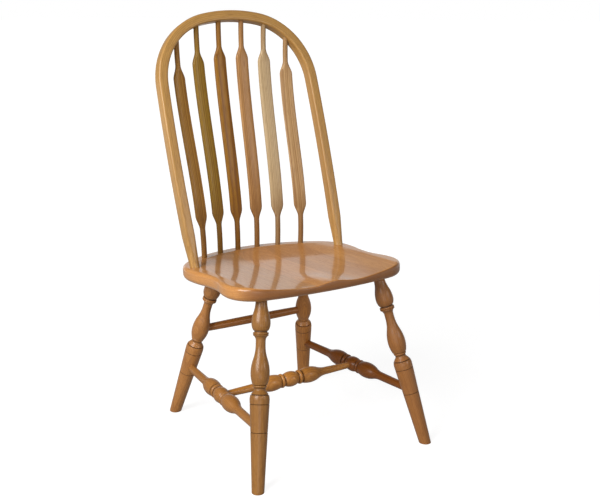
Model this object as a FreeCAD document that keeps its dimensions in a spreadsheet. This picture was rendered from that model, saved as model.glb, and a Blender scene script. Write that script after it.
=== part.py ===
"""Bow-back windsor side chair with bent arrow spindles, turned legs and turned stretchers.

Millimetres, +Z up, front facing -Y. The origin is on the floor under the middle of the chair's box.
"""
import FreeCAD, Part
import math
import os

import Sketcher

Vector = FreeCAD.Vector
Rotation = FreeCAD.Rotation
Placement = FreeCAD.Placement

SIZES = {
    # Seat blank: its plane slopes down to the back, its height is taken at the front edge
    "seat_height": 451.0,
    "seat_slope": 2.9,
    "seat_thickness": 33.0,
    "seat_front": 221.8,
    "seat_back": 214.8,
    "seat_front_half": 238.3,
    "seat_front_widest": 128.8,
    "seat_waist_half": 226.5,
    "seat_waist_at": 45.0,
    "seat_rear_half": 237.0,
    "seat_rear_widest": 62.7,
    "seat_front_arc": 970.0,
    "seat_back_arc": 319.5,
    "seat_top_round": 9.0,
    "seat_bottom_round": 13.0,
    # Saddle: a scoop that starts at a crease in front of the spindles and runs out at the front edge
    "crease_ahead": 12.5,
    "crease_step": 1.0,
    "scoop_depth": 16.5,
    "scoop_half_width": 205.0,
    "scoop_run": 110.0,
    "pommel_height": 9.5,
    "pommel_width": 42.0,
    "pommel_length": 166.0,
    # Joints between the five glued boards of the seat, from the left
    "board_joint_left": 146.0,
    "board_joint_mid_left": 51.0,
    "board_joint_mid_right": 42.0,
    "board_joint_right": 139.0,
    # Legs: where each axis meets the floor and the underside of the seat
    "front_foot_x": 240.5,
    "front_foot_y": 275.6,
    "rear_foot_x": 202.6,
    "rear_foot_y": 226.6,
    "front_mortise_x": 164.4,
    "front_mortise_y": 164.5,
    "rear_mortise_x": 127.6,
    "rear_mortise_y": 114.4,
    "rear_leg_rise": 3.0,
    # Leg turning, from the underside of the seat down
    "leg_tenon_length": 18.0,
    "leg_top_radius": 13.4,
    "leg_collar": 7.5,
    "leg_bulb_rise": 51.0,
    "leg_bulb_radius": 21.7,
    "leg_bulb_fall": 15.5,
    "leg_bulb_end_radius": 17.4,
    "leg_groove_slope": 1.2,
    "leg_groove_radius": 14.8,
    "leg_groove_width": 2.6,
    "leg_ring_width": 8.0,
    "leg_ring_rise": 3.3,
    "leg_cove": 11.0,
    "leg_neck_radius": 11.3,
    "leg_neck_length": 10.0,
    "leg_vase_rise": 63.5,
    "leg_vase_radius": 21.7,
    "leg_vase_fall": 25.5,
    "leg_vase_end_radius": 17.0,
    "leg_bead_slope": 1.4,
    "leg_bead_radius": 14.0,
    "leg_bead_width": 5.0,
    "leg_bead_rise": 1.7,
    "leg_spool_slope": 1.5,
    "leg_spool_radius": 13.0,
    "leg_spool_length": 4.0,
    "leg_shoulder_step": 9.0,
    "leg_shoulder_start": 19.8,
    "leg_shoulder_round": 13.0,
    "leg_shoulder_radius": 22.8,
    "leg_score_upper_fall": 8.5,
    "leg_score_upper_radius": 22.5,
    "leg_score_lower_fall": 61.5,
    "leg_score_lower_radius": 19.7,
    "score_half_width": 1.0,
    "score_depth": 1.1,
    "leg_foot_radius": 14.4,
    "foot_chamfer": 2.0,
    # Stretchers: heights of their axes above the floor, and the turning from the middle ball outwards
    "side_stretcher_height": 134.0,
    "rear_stretcher_height": 242.3,
    "ball_radius": 19.6,
    "ball_half": 18.5,
    "ball_end_radius": 14.8,
    "stretcher_groove_radius": 13.8,
    "stretcher_groove_width": 2.2,
    "stretcher_groove_slope": 1.0,
    "stretcher_ring_width": 9.0,
    "stretcher_ring_rise": 4.4,
    "stretcher_bulb_start": 17.2,
    "stretcher_bulb_rise": 22.0,
    "stretcher_bulb_radius": 20.4,
    "stretcher_bulb_fall": 52.0,
    "side_stretcher_neck": 10.6,
    "side_tenon_radius": 9.8,
    "centre_stretcher_neck": 9.8,
    "centre_tenon_radius": 8.2,
    "rear_stretcher_radius": 10.9,
    "rear_tenon_radius": 9.6,
    "tenon_past_leg_axis": 6.0,
    "tenon_past_ball_axis": 4.0,
    # Bow: one bent stick, its curve lying in a plane that leans back from the seat
    "bow_foot_inset": 25.6,
    "bow_foot_y": 73.0,
    "bow_lean": 18.9,
    "bow_rise": 618.3,
    "bow_crown_arc": 400.0,
    "bow_crown_angle": 11.3,
    "bow_shoulder_arc": 171.0,
    "bow_side_arc": 6070.0,
    "bow_width": 25.4,
    "bow_depth": 29.0,
    "bow_edge_round": 5.5,
    "bow_taper_top": 75.0,
    "bow_taper_end": 8.0,
    "bow_tenon_radius": 11.8,
    "wedge_length": 20.0,
    "wedge_thick": 3.0,
    "wedge_thin": 1.0,
    # Spindles: round, flared to a flat blade, round again, with an S bend seen from the side
    "spindle_spacing": 57.6,
    "spindle_line_back": 187.8,
    "spindle_line_arc": 318.0,
    "spindle_top_inner": 33.0,
    "spindle_top_middle": 97.8,
    "spindle_top_outer": 158.6,
    "spindle_foot_radius": 6.9,
    "spindle_top_radius": 6.7,
    "spindle_seat_tenon": 16.0,
    "spindle_bow_tenon": 3.0,
    "spindle_set_forward": 4.0,
    "spindle_straight_foot": 20.0,
    "spindle_straight_top": 26.0,
    "spindle_neck_low": 72.0,
    "spindle_neck_high": 71.0,
    "spindle_flare": 35.0,
    "blade_half_width": 17.2,
    "blade_half_thick": 5.8,
    "blade_turn": 5.4,
    # Fits: the glue line round a tenon, and the space left at the bottom of its hole
    "glue_gap": 0.1,
    "end_gap": 0.5,
}
# Numbers of pieces and of points that follow from the design
SPINDLE_COUNT = 6
FLARE_SECTIONS = 6
BLADE_SECTIONS = 7
SCOOP_STEPS = 26
# How far a cutting tool stands out past the wood that it cuts
CLEAR = 60.0
# Handle lengths of a quarter curve, as shares of its radius: a circle, and a flat blade with eased edges
ROUND_HANDLE = 0.5523
BLADE_HANDLE = 0.8

doc = FreeCAD.newDocument("windsor_chair")
finished = {}


def fill_sheet():
    """Writes the driving sizes into the spreadsheet, each with its alias."""
    cells = doc.addObject("Spreadsheet::Sheet", "sizes")
    for row, (alias, value) in enumerate(SIZES.items(), start=1):
        cells.set("A%d" % row, alias)
        cells.set("B%d" % row, str(value))
        cells.setAlias("B%d" % row, alias)
    doc.recompute()
    return cells


sheet = fill_sheet()


def size(alias):
    """The value of one cell of the sheet."""
    return float(sheet.get(alias))


def total(terms):
    """The sum of aliases, where a leading minus takes one away and a plain number stands for itself."""
    result = 0.0
    for term in terms:
        if isinstance(term, float):
            result += term
        elif term.startswith("-"):
            result -= size(term[1:])
        else:
            result += size(term)
    return result


def formula(terms):
    """The same sum as an expression on the sheet."""
    text = ""
    for term in terms:
        if isinstance(term, float):
            text += " + %.6f mm" % term
        elif term.startswith("-"):
            text += " - sizes.%s * 1 mm" % term[1:]
        else:
            text += " + sizes.%s * 1 mm" % term
    return text[3:] if text.startswith(" + ") else "0 mm" + text


def bind(item, prop, terms):
    """Gives a length of an object its value and ties it to the sheet."""
    item.setExpression(prop, formula(terms))


def origin_plane(body, role):
    """One of a body's own origin planes or axes."""
    for feature in body.Origin.OriginFeatures:
        if feature.Role == role:
            return feature
    raise ValueError("no origin feature called " + role)


def new_sketch(body, name, role, height_terms=None):
    """A sketch on one of the body's origin planes, or at a height above it."""
    sketch = body.newObject("Sketcher::SketchObject", name)
    sketch.AttachmentSupport = (origin_plane(body, role), [""])
    sketch.MapMode = "FlatFace"
    if height_terms is not None:
        sketch.setExpression("AttachmentOffset.Base.z", formula(height_terms))
        doc.recompute()
    return sketch


class Outline:
    """A closed chain of lines and arcs in a sketch, whose corners are tied to the sheet.

    A corner is a pair of sums of aliases, across and along. Along is measured from the sketch's
    origin, and a running sum carries it from one corner to the next.
    """

    def __init__(self, sketch, across, along, down=True):
        self.sketch = sketch
        self.sign = -1.0 if down else 1.0
        self.along = list(along)
        self.first = self.place(across)
        self.first_terms = (list(across), list(along))
        self.here = self.first
        self.open_end = None
        self.start_end = None

    def place(self, across):
        """The point that a corner stands at in the sketch."""
        return Vector(total(across), self.sign * total(self.along), 0.0)

    def pin(self, geo, pos, across, point):
        """Ties one end of an edge to its corner's sizes."""
        constrain = self.sketch.addConstraint
        if abs(point.x) < 1e-9:
            constrain(Sketcher.Constraint("PointOnObject", geo, pos, -2))
        else:
            index = constrain(Sketcher.Constraint("DistanceX", -1, 1, geo, pos, point.x))
            self.sketch.setExpression("Constraints[%d]" % index, formula(across))
        if abs(point.y) < 1e-9:
            constrain(Sketcher.Constraint("PointOnObject", geo, pos, -1))
            return
        terms = self.along if self.sign * point.y > 0 else reversed_terms(self.along)
        if point.y < 0:
            index = constrain(Sketcher.Constraint("DistanceY", geo, pos, -1, 1, -point.y))
        else:
            index = constrain(Sketcher.Constraint("DistanceY", -1, 1, geo, pos, point.y))
        self.sketch.setExpression("Constraints[%d]" % index, formula(terms))

    def join(self, geo, pos):
        """Fastens the start of a new edge to the end of the last one."""
        if self.open_end is None:
            self.start_end = (geo, pos)
            return
        last_geo, last_pos = self.open_end
        self.sketch.addConstraint(Sketcher.Constraint("Coincident", last_geo, last_pos, geo, pos))

    def line(self, across, run=()):
        """A straight edge to the corner that lies a run further along."""
        self.along += list(run)
        end = self.place(across)
        geo = self.sketch.addGeometry(Part.LineSegment(self.here, end), False)
        self.join(geo, 1)
        self.pin(geo, 2, across, end)
        self.open_end = (geo, 2)
        self.here = end

    def add_arc(self, start, middle, end):
        """An arc through three points. Returns its number and which of its ends lies at the start."""
        arc, first = turned_arc(start, middle, end)
        geo = self.sketch.addGeometry(arc, False)
        return geo, first, 3 - first

    def level(self, geo, pos):
        """Keeps an arc's centre beside one of its ends, so that the curve runs upright there."""
        self.sketch.addConstraint(Sketcher.Constraint("Horizontal", geo, 3, geo, pos))

    def quarter(self, across, run, upright_at_start):
        """An arc to the next corner that runs upright at one of its ends."""
        start = self.here
        self.along += list(run)
        end = self.place(across)
        if upright_at_start:
            middle = arc_middle(start, end)
        else:
            middle = arc_middle(end, start)
        geo, first, last = self.add_arc(start, middle, end)
        self.join(geo, first)
        self.pin(geo, last, across, end)
        self.level(geo, first if upright_at_start else last)
        self.open_end = (geo, last)
        self.here = end

    def sway(self, across, run):
        """Two equal arcs that meet halfway and run upright at both outer ends."""
        start = self.here
        self.along += list(run)
        end = self.place(across)
        half = (start + end) * 0.5
        one, one_first, one_last = self.add_arc(start, arc_middle(start, half), half)
        two, two_first, two_last = self.add_arc(half, arc_middle(end, half), end)
        self.join(one, one_first)
        self.sketch.addConstraint(Sketcher.Constraint("Tangent", one, one_last, two, two_first))
        self.sketch.addConstraint(Sketcher.Constraint("Equal", one, two))
        self.level(one, one_first)
        self.level(two, two_last)
        self.pin(two, two_last, across, end)
        self.open_end = (two, two_last)
        self.here = end

    def bead(self, across, width, rise):
        """A rounded ring, as wide along the turning as its width and standing out by its rise."""
        start = self.here
        self.along += [width]
        end = self.place(across)
        middle = (start + end) * 0.5 + Vector(size(rise), 0.0, 0.0)
        geo, first, last = self.add_arc(start, middle, end)
        self.join(geo, first)
        self.pin(geo, last, across, end)
        radius = self.sketch.Geometry[geo].Radius
        index = self.sketch.addConstraint(Sketcher.Constraint("Radius", geo, radius))
        text = "(sizes.%s ^ 2 + (sizes.%s / 2) ^ 2) / (2 * sizes.%s) * 1 mm" % (rise, width, rise)
        self.sketch.setExpression("Constraints[%d]" % index, text)
        self.open_end = (geo, last)
        self.here = end

    def notch(self, across):
        """A scored line: a V cut to the score depth, with the same radius before and after."""
        self.line(across + ["-score_depth"], ["score_half_width"])
        self.line(across, ["score_half_width"])

    def close(self):
        """A straight edge back to the first corner."""
        geo = self.sketch.addGeometry(Part.LineSegment(self.here, self.first), False)
        self.join(geo, 1)
        first_geo, first_pos = self.start_end
        self.sketch.addConstraint(Sketcher.Constraint("Coincident", geo, 2, first_geo, first_pos))
        across, self.along = self.first_terms
        self.pin(first_geo, first_pos, across, self.first)


def reversed_terms(terms):
    """The same sum with every sign turned round."""
    turned = []
    for term in terms:
        if isinstance(term, float):
            turned.append(-term)
        elif term.startswith("-"):
            turned.append(term[1:])
        else:
            turned.append("-" + term)
    return turned


def turned_arc(start, middle, end):
    """An arc through three points that turns leftwards, and which of its ends the start is: 1 or 2."""
    circle = Part.Arc(start, middle, end).toShape().Curve
    centre = circle.Center
    leftwards = (middle - start).cross(end - middle).z > 0.0
    low, high = (start, end) if leftwards else (end, start)
    low_angle = math.atan2(low.y - centre.y, low.x - centre.x)
    high_angle = math.atan2(high.y - centre.y, high.x - centre.x)
    if high_angle < low_angle:
        high_angle += 2.0 * math.pi
    flat = Part.Circle(centre, Vector(0, 0, 1), circle.Radius)
    return Part.ArcOfCircle(flat, low_angle, high_angle), (1 if leftwards else 2)


def arc_middle(upright, other):
    """The middle of the arc that runs upright at its first point and passes through the other."""
    across = other.x - upright.x
    along = other.y - upright.y
    radius = (across * across + along * along) / (2.0 * abs(across))
    side = math.copysign(1.0, across)
    centre = Vector(upright.x + side * radius, upright.y, 0.0)
    half_angle = math.atan2(abs(along), radius - abs(across)) / 2.0
    step_across = -side * radius * math.cos(half_angle)
    step_along = math.copysign(radius * math.sin(half_angle), along)
    return centre + Vector(step_across, step_along, 0.0)


def new_body(name):
    """A body with the given name."""
    body = doc.addObject("PartDesign::Body", name)
    body.Label = name
    doc.recompute()
    return body


def revolve(body, sketch):
    """Turns a half outline round the sketch's upright axis."""
    turned = body.newObject("PartDesign::Revolution", body.Name + "_turned")
    turned.Profile = (sketch, [""])
    turned.ReferenceAxis = (sketch, ["V_Axis"])
    turned.Angle = 360.0
    doc.recompute()
    return turned


def mirror(body, name, originals, role):
    """Repeats features of a body on the other side of one of its origin planes."""
    mirrored = body.newObject("PartDesign::Mirrored", name)
    mirrored.Originals = originals
    mirrored.MirrorPlane = (origin_plane(body, role), [""])
    body.Tip = mirrored
    doc.recompute()
    return mirrored


def along_axis(base, direction):
    """A placement at a point whose own Z axis runs in a direction."""
    return Placement(base, Rotation(Vector(0, 0, 1), direction))


def peg(name, radius_terms, base, direction, length):
    """A round cutting tool for a mortise."""
    tool = doc.addObject("Part::Cylinder", name)
    bind(tool, "Radius", radius_terms)
    tool.Height = length
    tool.Placement = along_axis(base, direction)
    return tool


def block(name, corner, extent, placement=None):
    """A box-shaped cutting tool, its corner and extent given in the frame of its placement."""
    tool = doc.addObject("Part::Box", name)
    tool.Length = extent.x
    tool.Width = extent.y
    tool.Height = extent.z
    tool.Placement = Placement(corner, Rotation())
    if placement is not None:
        tool.Placement = placement.multiply(tool.Placement)
    return tool


def cut(name, base, tools):
    """Takes one or more tools away from a piece."""
    tool = tools[0]
    if len(tools) > 1:
        tool = doc.addObject("Part::MultiFuse", name + "_tools")
        tool.Shapes = tools
    result = doc.addObject("Part::Cut", name)
    result.Base = base
    result.Tool = tool
    doc.recompute()
    return result


def finish(name, item):
    """Marks an object as one finished piece of the chair."""
    item.Label = name
    finished[name] = item


# The seat's plane, and points of the frame that other pieces are set out from
slope = math.radians(size("seat_slope"))
seat_frame = Placement(
    Vector(0.0, 0.0, size("seat_height") - math.tan(slope) * size("seat_front")),
    Rotation(Vector(1, 0, 0), -size("seat_slope")),
)


def on_seat(x, y, depth=0.0):
    """A point of the seat blank: across, back and below its top."""
    return seat_frame.multVec(Vector(x, y, -depth))


class Axis:
    """The straight line of a leg, from its foot on the floor to the underside of the seat."""

    def __init__(self, foot, top):
        self.foot = foot
        self.top = top
        self.length = (top - foot).Length
        self.direction = (top - foot).normalize()

    def at_height(self, height):
        """The point of the axis that lies at a height above the floor."""
        return self.foot + self.direction * (height / self.direction.z)


def leg_axis(side, row):
    """The axis of a leg: side is -1 for left and 1 for right, row is front or rear."""
    back = -1.0 if row == "front" else 1.0
    foot = Vector(side * size(row + "_foot_x"), back * size(row + "_foot_y"), 0.0)
    across = side * size(row + "_mortise_x")
    along = back * size(row + "_mortise_y")
    return Axis(foot, on_seat(across, along, size("seat_thickness")))


LEGS = {
    "leg_front_left": leg_axis(-1, "front"),
    "leg_front_right": leg_axis(1, "front"),
    "leg_rear_left": leg_axis(-1, "rear"),
    "leg_rear_right": leg_axis(1, "rear"),
}
side_height = size("side_stretcher_height")
rear_height = size("rear_stretcher_height")
front_left_joint = LEGS["leg_front_left"].at_height(side_height)
front_right_joint = LEGS["leg_front_right"].at_height(side_height)
rear_left_joint = LEGS["leg_rear_left"].at_height(side_height)
rear_right_joint = LEGS["leg_rear_right"].at_height(side_height)
# Each stretcher by name: its two end joints on the axes of what it enters
STRETCHERS = {
    "side_stretcher_left": (rear_left_joint, front_left_joint),
    "side_stretcher_right": (rear_right_joint, front_right_joint),
    "centre_stretcher": (
        (rear_left_joint + front_left_joint) * 0.5,
        (rear_right_joint + front_right_joint) * 0.5,
    ),
    "rear_stretcher": (
        LEGS["leg_rear_left"].at_height(rear_height),
        LEGS["leg_rear_right"].at_height(rear_height),
    ),
}
TENON_RADIUS = {
    "side_stretcher_left": "side_tenon_radius",
    "side_stretcher_right": "side_tenon_radius",
    "centre_stretcher": "centre_tenon_radius",
    "rear_stretcher": "rear_tenon_radius",
}
TENON_PAST = {
    "side_stretcher_left": "tenon_past_leg_axis",
    "side_stretcher_right": "tenon_past_leg_axis",
    "centre_stretcher": "tenon_past_ball_axis",
    "rear_stretcher": "tenon_past_leg_axis",
}


def stretcher_mortise(name, end):
    """The hole for one end of a stretcher: end is 0 or 1."""
    joint = STRETCHERS[name][end]
    inward = (STRETCHERS[name][1 - end] - joint).normalize()
    bottom = joint - inward * (size(TENON_PAST[name]) + size("end_gap"))
    radius_terms = [TENON_RADIUS[name], "glue_gap"]
    return peg("%s_mortise_%d" % (name, end), radius_terms, bottom, inward, CLEAR)


def leg_outline(sketch, length):
    """Half of the leg's turning, from the top of its tenon down past the foot."""
    outline = Outline(sketch, [], ["-leg_tenon_length"])
    outline.line(["leg_top_radius"])
    outline.line(["leg_top_radius"], ["leg_tenon_length", "leg_collar"])
    outline.sway(["leg_bulb_radius"], ["leg_bulb_rise"])
    outline.quarter(["leg_bulb_end_radius"], ["leg_bulb_fall"], True)
    outline.line(["leg_groove_radius"], ["leg_groove_slope"])
    outline.line(["leg_groove_radius"], ["leg_groove_width"])
    outline.bead(["leg_groove_radius"], "leg_ring_width", "leg_ring_rise")
    outline.quarter(["leg_neck_radius"], ["leg_cove"], False)
    outline.line(["leg_neck_radius"], ["leg_neck_length"])
    outline.sway(["leg_vase_radius"], ["leg_vase_rise"])
    outline.quarter(["leg_vase_end_radius"], ["leg_vase_fall"], True)
    outline.line(["leg_bead_radius"], ["leg_bead_slope"])
    outline.bead(["leg_bead_radius"], "leg_bead_width", "leg_bead_rise")
    outline.line(["leg_spool_radius"], ["leg_spool_slope"])
    outline.line(["leg_spool_radius"], ["leg_spool_length"])
    outline.line(["leg_shoulder_start"], ["leg_shoulder_step"])
    outline.quarter(["leg_shoulder_radius"], ["leg_shoulder_round"], False)
    outline.line(["leg_score_upper_radius"], ["leg_score_upper_fall"])
    outline.notch(["leg_score_upper_radius"])
    outline.line(["leg_score_lower_radius"], ["leg_score_lower_fall"])
    outline.notch(["leg_score_lower_radius"])
    # The taper runs on past the floor, where the leg is sawn level
    reach = length + CLEAR / 2.0 - total(outline.along)
    taper = (size("leg_score_lower_radius") - size("leg_foot_radius")) / (length - total(outline.along))
    end_radius = size("leg_score_lower_radius") - taper * reach
    outline.line([end_radius], [reach])
    outline.line([], [])
    outline.close()


def leg_rise(name):
    """How much deeper than a front leg this leg is driven into the seat."""
    return size("rear_leg_rise") if "rear" in name else 0.0


def make_leg(name, axis, mortises):
    """A turned leg, bored for its stretchers, sawn level and eased at the foot."""
    body = new_body(name + "_turning")
    sketch = new_sketch(body, name + "_outline", "XZ_Plane")
    leg_outline(sketch, LEGS["leg_front_left"].length)
    doc.recompute()
    revolve(body, sketch)
    body.Placement = along_axis(axis.top + axis.direction * leg_rise(name), axis.direction)
    floor = block(
        name + "_floor",
        axis.foot + Vector(-CLEAR, -CLEAR, -CLEAR),
        Vector(2 * CLEAR, 2 * CLEAR, CLEAR),
    )
    sawn = cut(name + "_sawn", body, mortises + [floor])
    eased = doc.addObject("Part::Chamfer", name)
    eased.Base = sawn
    edges = []
    for number, edge in enumerate(sawn.Shape.Edges, start=1):
        if abs(edge.BoundBox.ZMax) < 1e-4:
            edges.append((number, size("foot_chamfer"), size("foot_chamfer")))
    eased.Edges = edges
    doc.recompute()
    finish(name, eased)


def make_legs():
    """The four legs, each with the mortises of the stretchers that enter it."""
    make_leg("leg_front_left", LEGS["leg_front_left"], [stretcher_mortise("side_stretcher_left", 1)])
    make_leg("leg_front_right", LEGS["leg_front_right"], [stretcher_mortise("side_stretcher_right", 1)])
    rear_left = [stretcher_mortise("side_stretcher_left", 0), stretcher_mortise("rear_stretcher", 0)]
    make_leg("leg_rear_left", LEGS["leg_rear_left"], rear_left)
    rear_right = [stretcher_mortise("side_stretcher_right", 0), stretcher_mortise("rear_stretcher", 1)]
    make_leg("leg_rear_right", LEGS["leg_rear_right"], rear_right)


def turned_stretcher(name, neck):
    """A stretcher turned with a ball, two rings and two pear-shaped bulbs, from its middle outwards."""
    start, end = STRETCHERS[name]
    reach = (end - start).Length / 2.0 + size(TENON_PAST[name])
    body = new_body(name + "_turning")
    sketch = new_sketch(body, name + "_outline", "XZ_Plane")
    outline = Outline(sketch, [], [], down=False)
    outline.line(["ball_radius"])
    outline.quarter(["ball_end_radius"], ["ball_half"], True)
    outline.line(["stretcher_groove_radius"], ["stretcher_groove_slope"])
    outline.line(["stretcher_groove_radius"], ["stretcher_groove_width"])
    outline.bead(["stretcher_groove_radius"], "stretcher_ring_width", "stretcher_ring_rise")
    outline.line(["stretcher_groove_radius"], ["stretcher_groove_width"])
    outline.line(["stretcher_bulb_start"], ["stretcher_groove_slope"])
    outline.quarter(["stretcher_bulb_radius"], ["stretcher_bulb_rise"], False)
    outline.sway([neck], ["stretcher_bulb_fall"])
    # The slim end tapers to the size of its tenon just outside the wood that it enters
    to_surface = reach - size(TENON_PAST[name]) - size("leg_vase_radius") - total(outline.along)
    outline.line([TENON_RADIUS[name]], [to_surface])
    outline.line([TENON_RADIUS[name]], [reach - total(outline.along)])
    outline.line([], [])
    outline.close()
    doc.recompute()
    half = revolve(body, sketch)
    mirror(body, name + "_other_half", [half], "XY_Plane")
    body.Placement = along_axis((start + end) * 0.5, (end - start).normalize())
    doc.recompute()
    return body


def plain_stretcher(name):
    """A slim stretcher that swells gently towards its middle."""
    start, end = STRETCHERS[name]
    reach = (end - start).Length / 2.0 + size(TENON_PAST[name])
    swell = reach - size(TENON_PAST[name]) - size("leg_vase_radius")
    body = new_body(name + "_turning")
    sketch = new_sketch(body, name + "_outline", "XZ_Plane")
    outline = Outline(sketch, [], [], down=False)
    outline.line(["rear_stretcher_radius"])
    outline.quarter([TENON_RADIUS[name]], [swell], True)
    outline.line([TENON_RADIUS[name]], [reach - swell])
    outline.line([], [])
    outline.close()
    doc.recompute()
    half = revolve(body, sketch)
    mirror(body, name + "_other_half", [half], "XY_Plane")
    body.Placement = along_axis((start + end) * 0.5, (end - start).normalize())
    doc.recompute()
    return body


def make_stretchers():
    """Two side stretchers with the centre stretcher between their balls, and the rear stretcher."""
    for end, name in enumerate(("side_stretcher_left", "side_stretcher_right")):
        body = turned_stretcher(name, "side_stretcher_neck")
        finish(name, cut(name, body, [stretcher_mortise("centre_stretcher", end)]))
    finish("centre_stretcher", turned_stretcher("centre_stretcher", "centre_stretcher_neck"))
    finish("rear_stretcher", plain_stretcher("rear_stretcher"))


def circle_meeting(centre_a, radius_a, centre_b, radius_b):
    """The meeting point of two circles that lies further towards the chair's middle line."""
    apart = centre_b - centre_a
    distance = apart.Length
    along = (distance ** 2 + radius_a ** 2 - radius_b ** 2) / (2.0 * distance)
    aside = math.sqrt(radius_a ** 2 - along ** 2)
    foot = centre_a + apart * (along / distance)
    across = Vector(-apart.y, apart.x, 0.0) * (aside / distance)
    return min(foot + across, foot - across, key=lambda point: point.x)


class BowCurve:
    """The bow's centre line in its own plane: x across, y up along the lean, right half.

    A crown arc joins a shoulder arc, which joins a long flat side arc that ends at the seat.
    """

    def __init__(self):
        self.crown_radius = size("bow_crown_arc")
        self.shoulder_radius = size("bow_shoulder_arc")
        self.side_radius = size("bow_side_arc")
        turn = math.radians(size("bow_crown_angle"))
        self.top = Vector(0.0, size("bow_rise"), 0.0)
        self.crown_centre = self.top - Vector(0.0, self.crown_radius, 0.0)
        ray = Vector(math.sin(turn), math.cos(turn), 0.0)
        self.crown_end = self.crown_centre + ray * self.crown_radius
        self.shoulder_centre = self.crown_end - ray * self.shoulder_radius
        self.foot = Vector(total(["seat_rear_half", "-bow_foot_inset"]), 0.0, 0.0)
        self.side_centre = circle_meeting(
            self.foot,
            self.side_radius,
            self.shoulder_centre,
            self.side_radius - self.shoulder_radius,
        )
        ray = (self.shoulder_centre - self.side_centre).normalize()
        self.side_end = self.shoulder_centre + ray * self.shoulder_radius

    def side_at(self, rise):
        """The point of the side arc, or of its run below the seat, at a rise above the seat."""
        up = rise - self.side_centre.y
        return Vector(self.side_centre.x + math.sqrt(self.side_radius ** 2 - up ** 2), rise, 0.0)

    def crown_at(self, across):
        """The point of the crown or shoulder that lies a distance across from the middle."""
        if across <= self.crown_end.x:
            centre, radius = self.crown_centre, self.crown_radius
        else:
            centre, radius = self.shoulder_centre, self.shoulder_radius
        up = centre.y + math.sqrt(radius ** 2 - (across - centre.x) ** 2)
        return Vector(across, up, 0.0)


bow = BowCurve()
# The bow's own frame: X across, Y backwards, Z up along the lean, with the seat's top at zero
bow_frame = Placement(
    on_seat(0.0, size("bow_foot_y")),
    Rotation(Vector(1, 0, 0), -size("bow_lean")),
)


def on_bow(point):
    """A point of the bow's curve in the chair's frame."""
    return bow_frame.multVec(Vector(point.x, 0.0, point.y))


def middle_of(centre, start, end):
    """The middle of the short arc round a centre between two of its points."""
    half = (start + end) * 0.5 - centre
    return centre + half * ((start - centre).Length / half.Length)


def flipped(point):
    """The same point on the left of the middle line."""
    return Vector(-point.x, point.y, point.z)


def bow_path(sketch):
    """The centre line of the bow above its tapered feet, from the left foot over to the right."""
    low = bow.side_at(size("bow_taper_top"))
    side_mid = middle_of(bow.side_centre, low, bow.side_end)
    shoulder_mid = middle_of(bow.shoulder_centre, bow.side_end, bow.crown_end)
    pieces = [
        (flipped(low), flipped(side_mid), flipped(bow.side_end)),
        (flipped(bow.side_end), flipped(shoulder_mid), flipped(bow.crown_end)),
        (flipped(bow.crown_end), bow.top, bow.crown_end),
        (bow.crown_end, shoulder_mid, bow.side_end),
        (bow.side_end, side_mid, low),
    ]
    last = None
    numbers = []
    for start, middle, end in pieces:
        arc, first = turned_arc(start, middle, end)
        geo = sketch.addGeometry(arc, False)
        if last is not None:
            sketch.addConstraint(Sketcher.Constraint("Tangent", last[0], last[1], geo, first))
        else:
            head = (geo, first)
        last = (geo, 3 - first)
        numbers.append(geo)
    left_side, left_shoulder, crown, right_shoulder, right_side = numbers
    sketch.addConstraint(Sketcher.Constraint("PointOnObject", crown, 3, -2))
    sketch.addConstraint(Sketcher.Constraint("Equal", left_shoulder, right_shoulder))
    sketch.addConstraint(Sketcher.Constraint("Equal", left_side, right_side))
    for geo, alias in ((left_side, "bow_side_arc"), (left_shoulder, "bow_shoulder_arc"), (crown, "bow_crown_arc")):
        index = sketch.addConstraint(Sketcher.Constraint("Radius", geo, size(alias)))
        sketch.setExpression("Constraints[%d]" % index, formula([alias]))
    for geo, pos in (head, last):
        index = sketch.addConstraint(Sketcher.Constraint("DistanceY", -1, 1, geo, pos, low.y))
        sketch.setExpression("Constraints[%d]" % index, formula(["bow_taper_top"]))
    rise = bow.crown_centre.y
    index = sketch.addConstraint(Sketcher.Constraint("DistanceY", -1, 1, crown, 3, rise))
    sketch.setExpression("Constraints[%d]" % index, formula(["bow_rise", "-bow_crown_arc"]))


def rounded_section(sketch, centre_x, half_width, half_depth, corner):
    """A rectangle with round corners, across the bow's stick, centred at a place across."""
    flat_x = half_width - corner
    flat_y = half_depth - corner
    last = None
    for turn in range(4):
        angle = math.radians(90.0 * turn)
        sign_x = (1, -1, -1, 1)[turn]
        sign_y = (1, 1, -1, -1)[turn]
        hub = Vector(centre_x + sign_x * flat_x, sign_y * flat_y, 0.0)
        arc = Part.ArcOfCircle(Part.Circle(hub, Vector(0, 0, 1), corner), angle, angle + math.pi / 2)
        corner_geo = sketch.addGeometry(arc, False)
        if last is not None:
            line = Part.LineSegment(last[1], arc.StartPoint)
            flat_geo = sketch.addGeometry(line, False)
            sketch.addConstraint(Sketcher.Constraint("Tangent", last[0], 2, flat_geo, 1))
            sketch.addConstraint(Sketcher.Constraint("Tangent", flat_geo, 2, corner_geo, 1))
        else:
            first = (corner_geo, arc.StartPoint)
        last = (corner_geo, arc.EndPoint)
    flat_geo = sketch.addGeometry(Part.LineSegment(last[1], first[1]), False)
    sketch.addConstraint(Sketcher.Constraint("Tangent", last[0], 2, flat_geo, 1))
    sketch.addConstraint(Sketcher.Constraint("Tangent", flat_geo, 2, first[0], 1))


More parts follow.
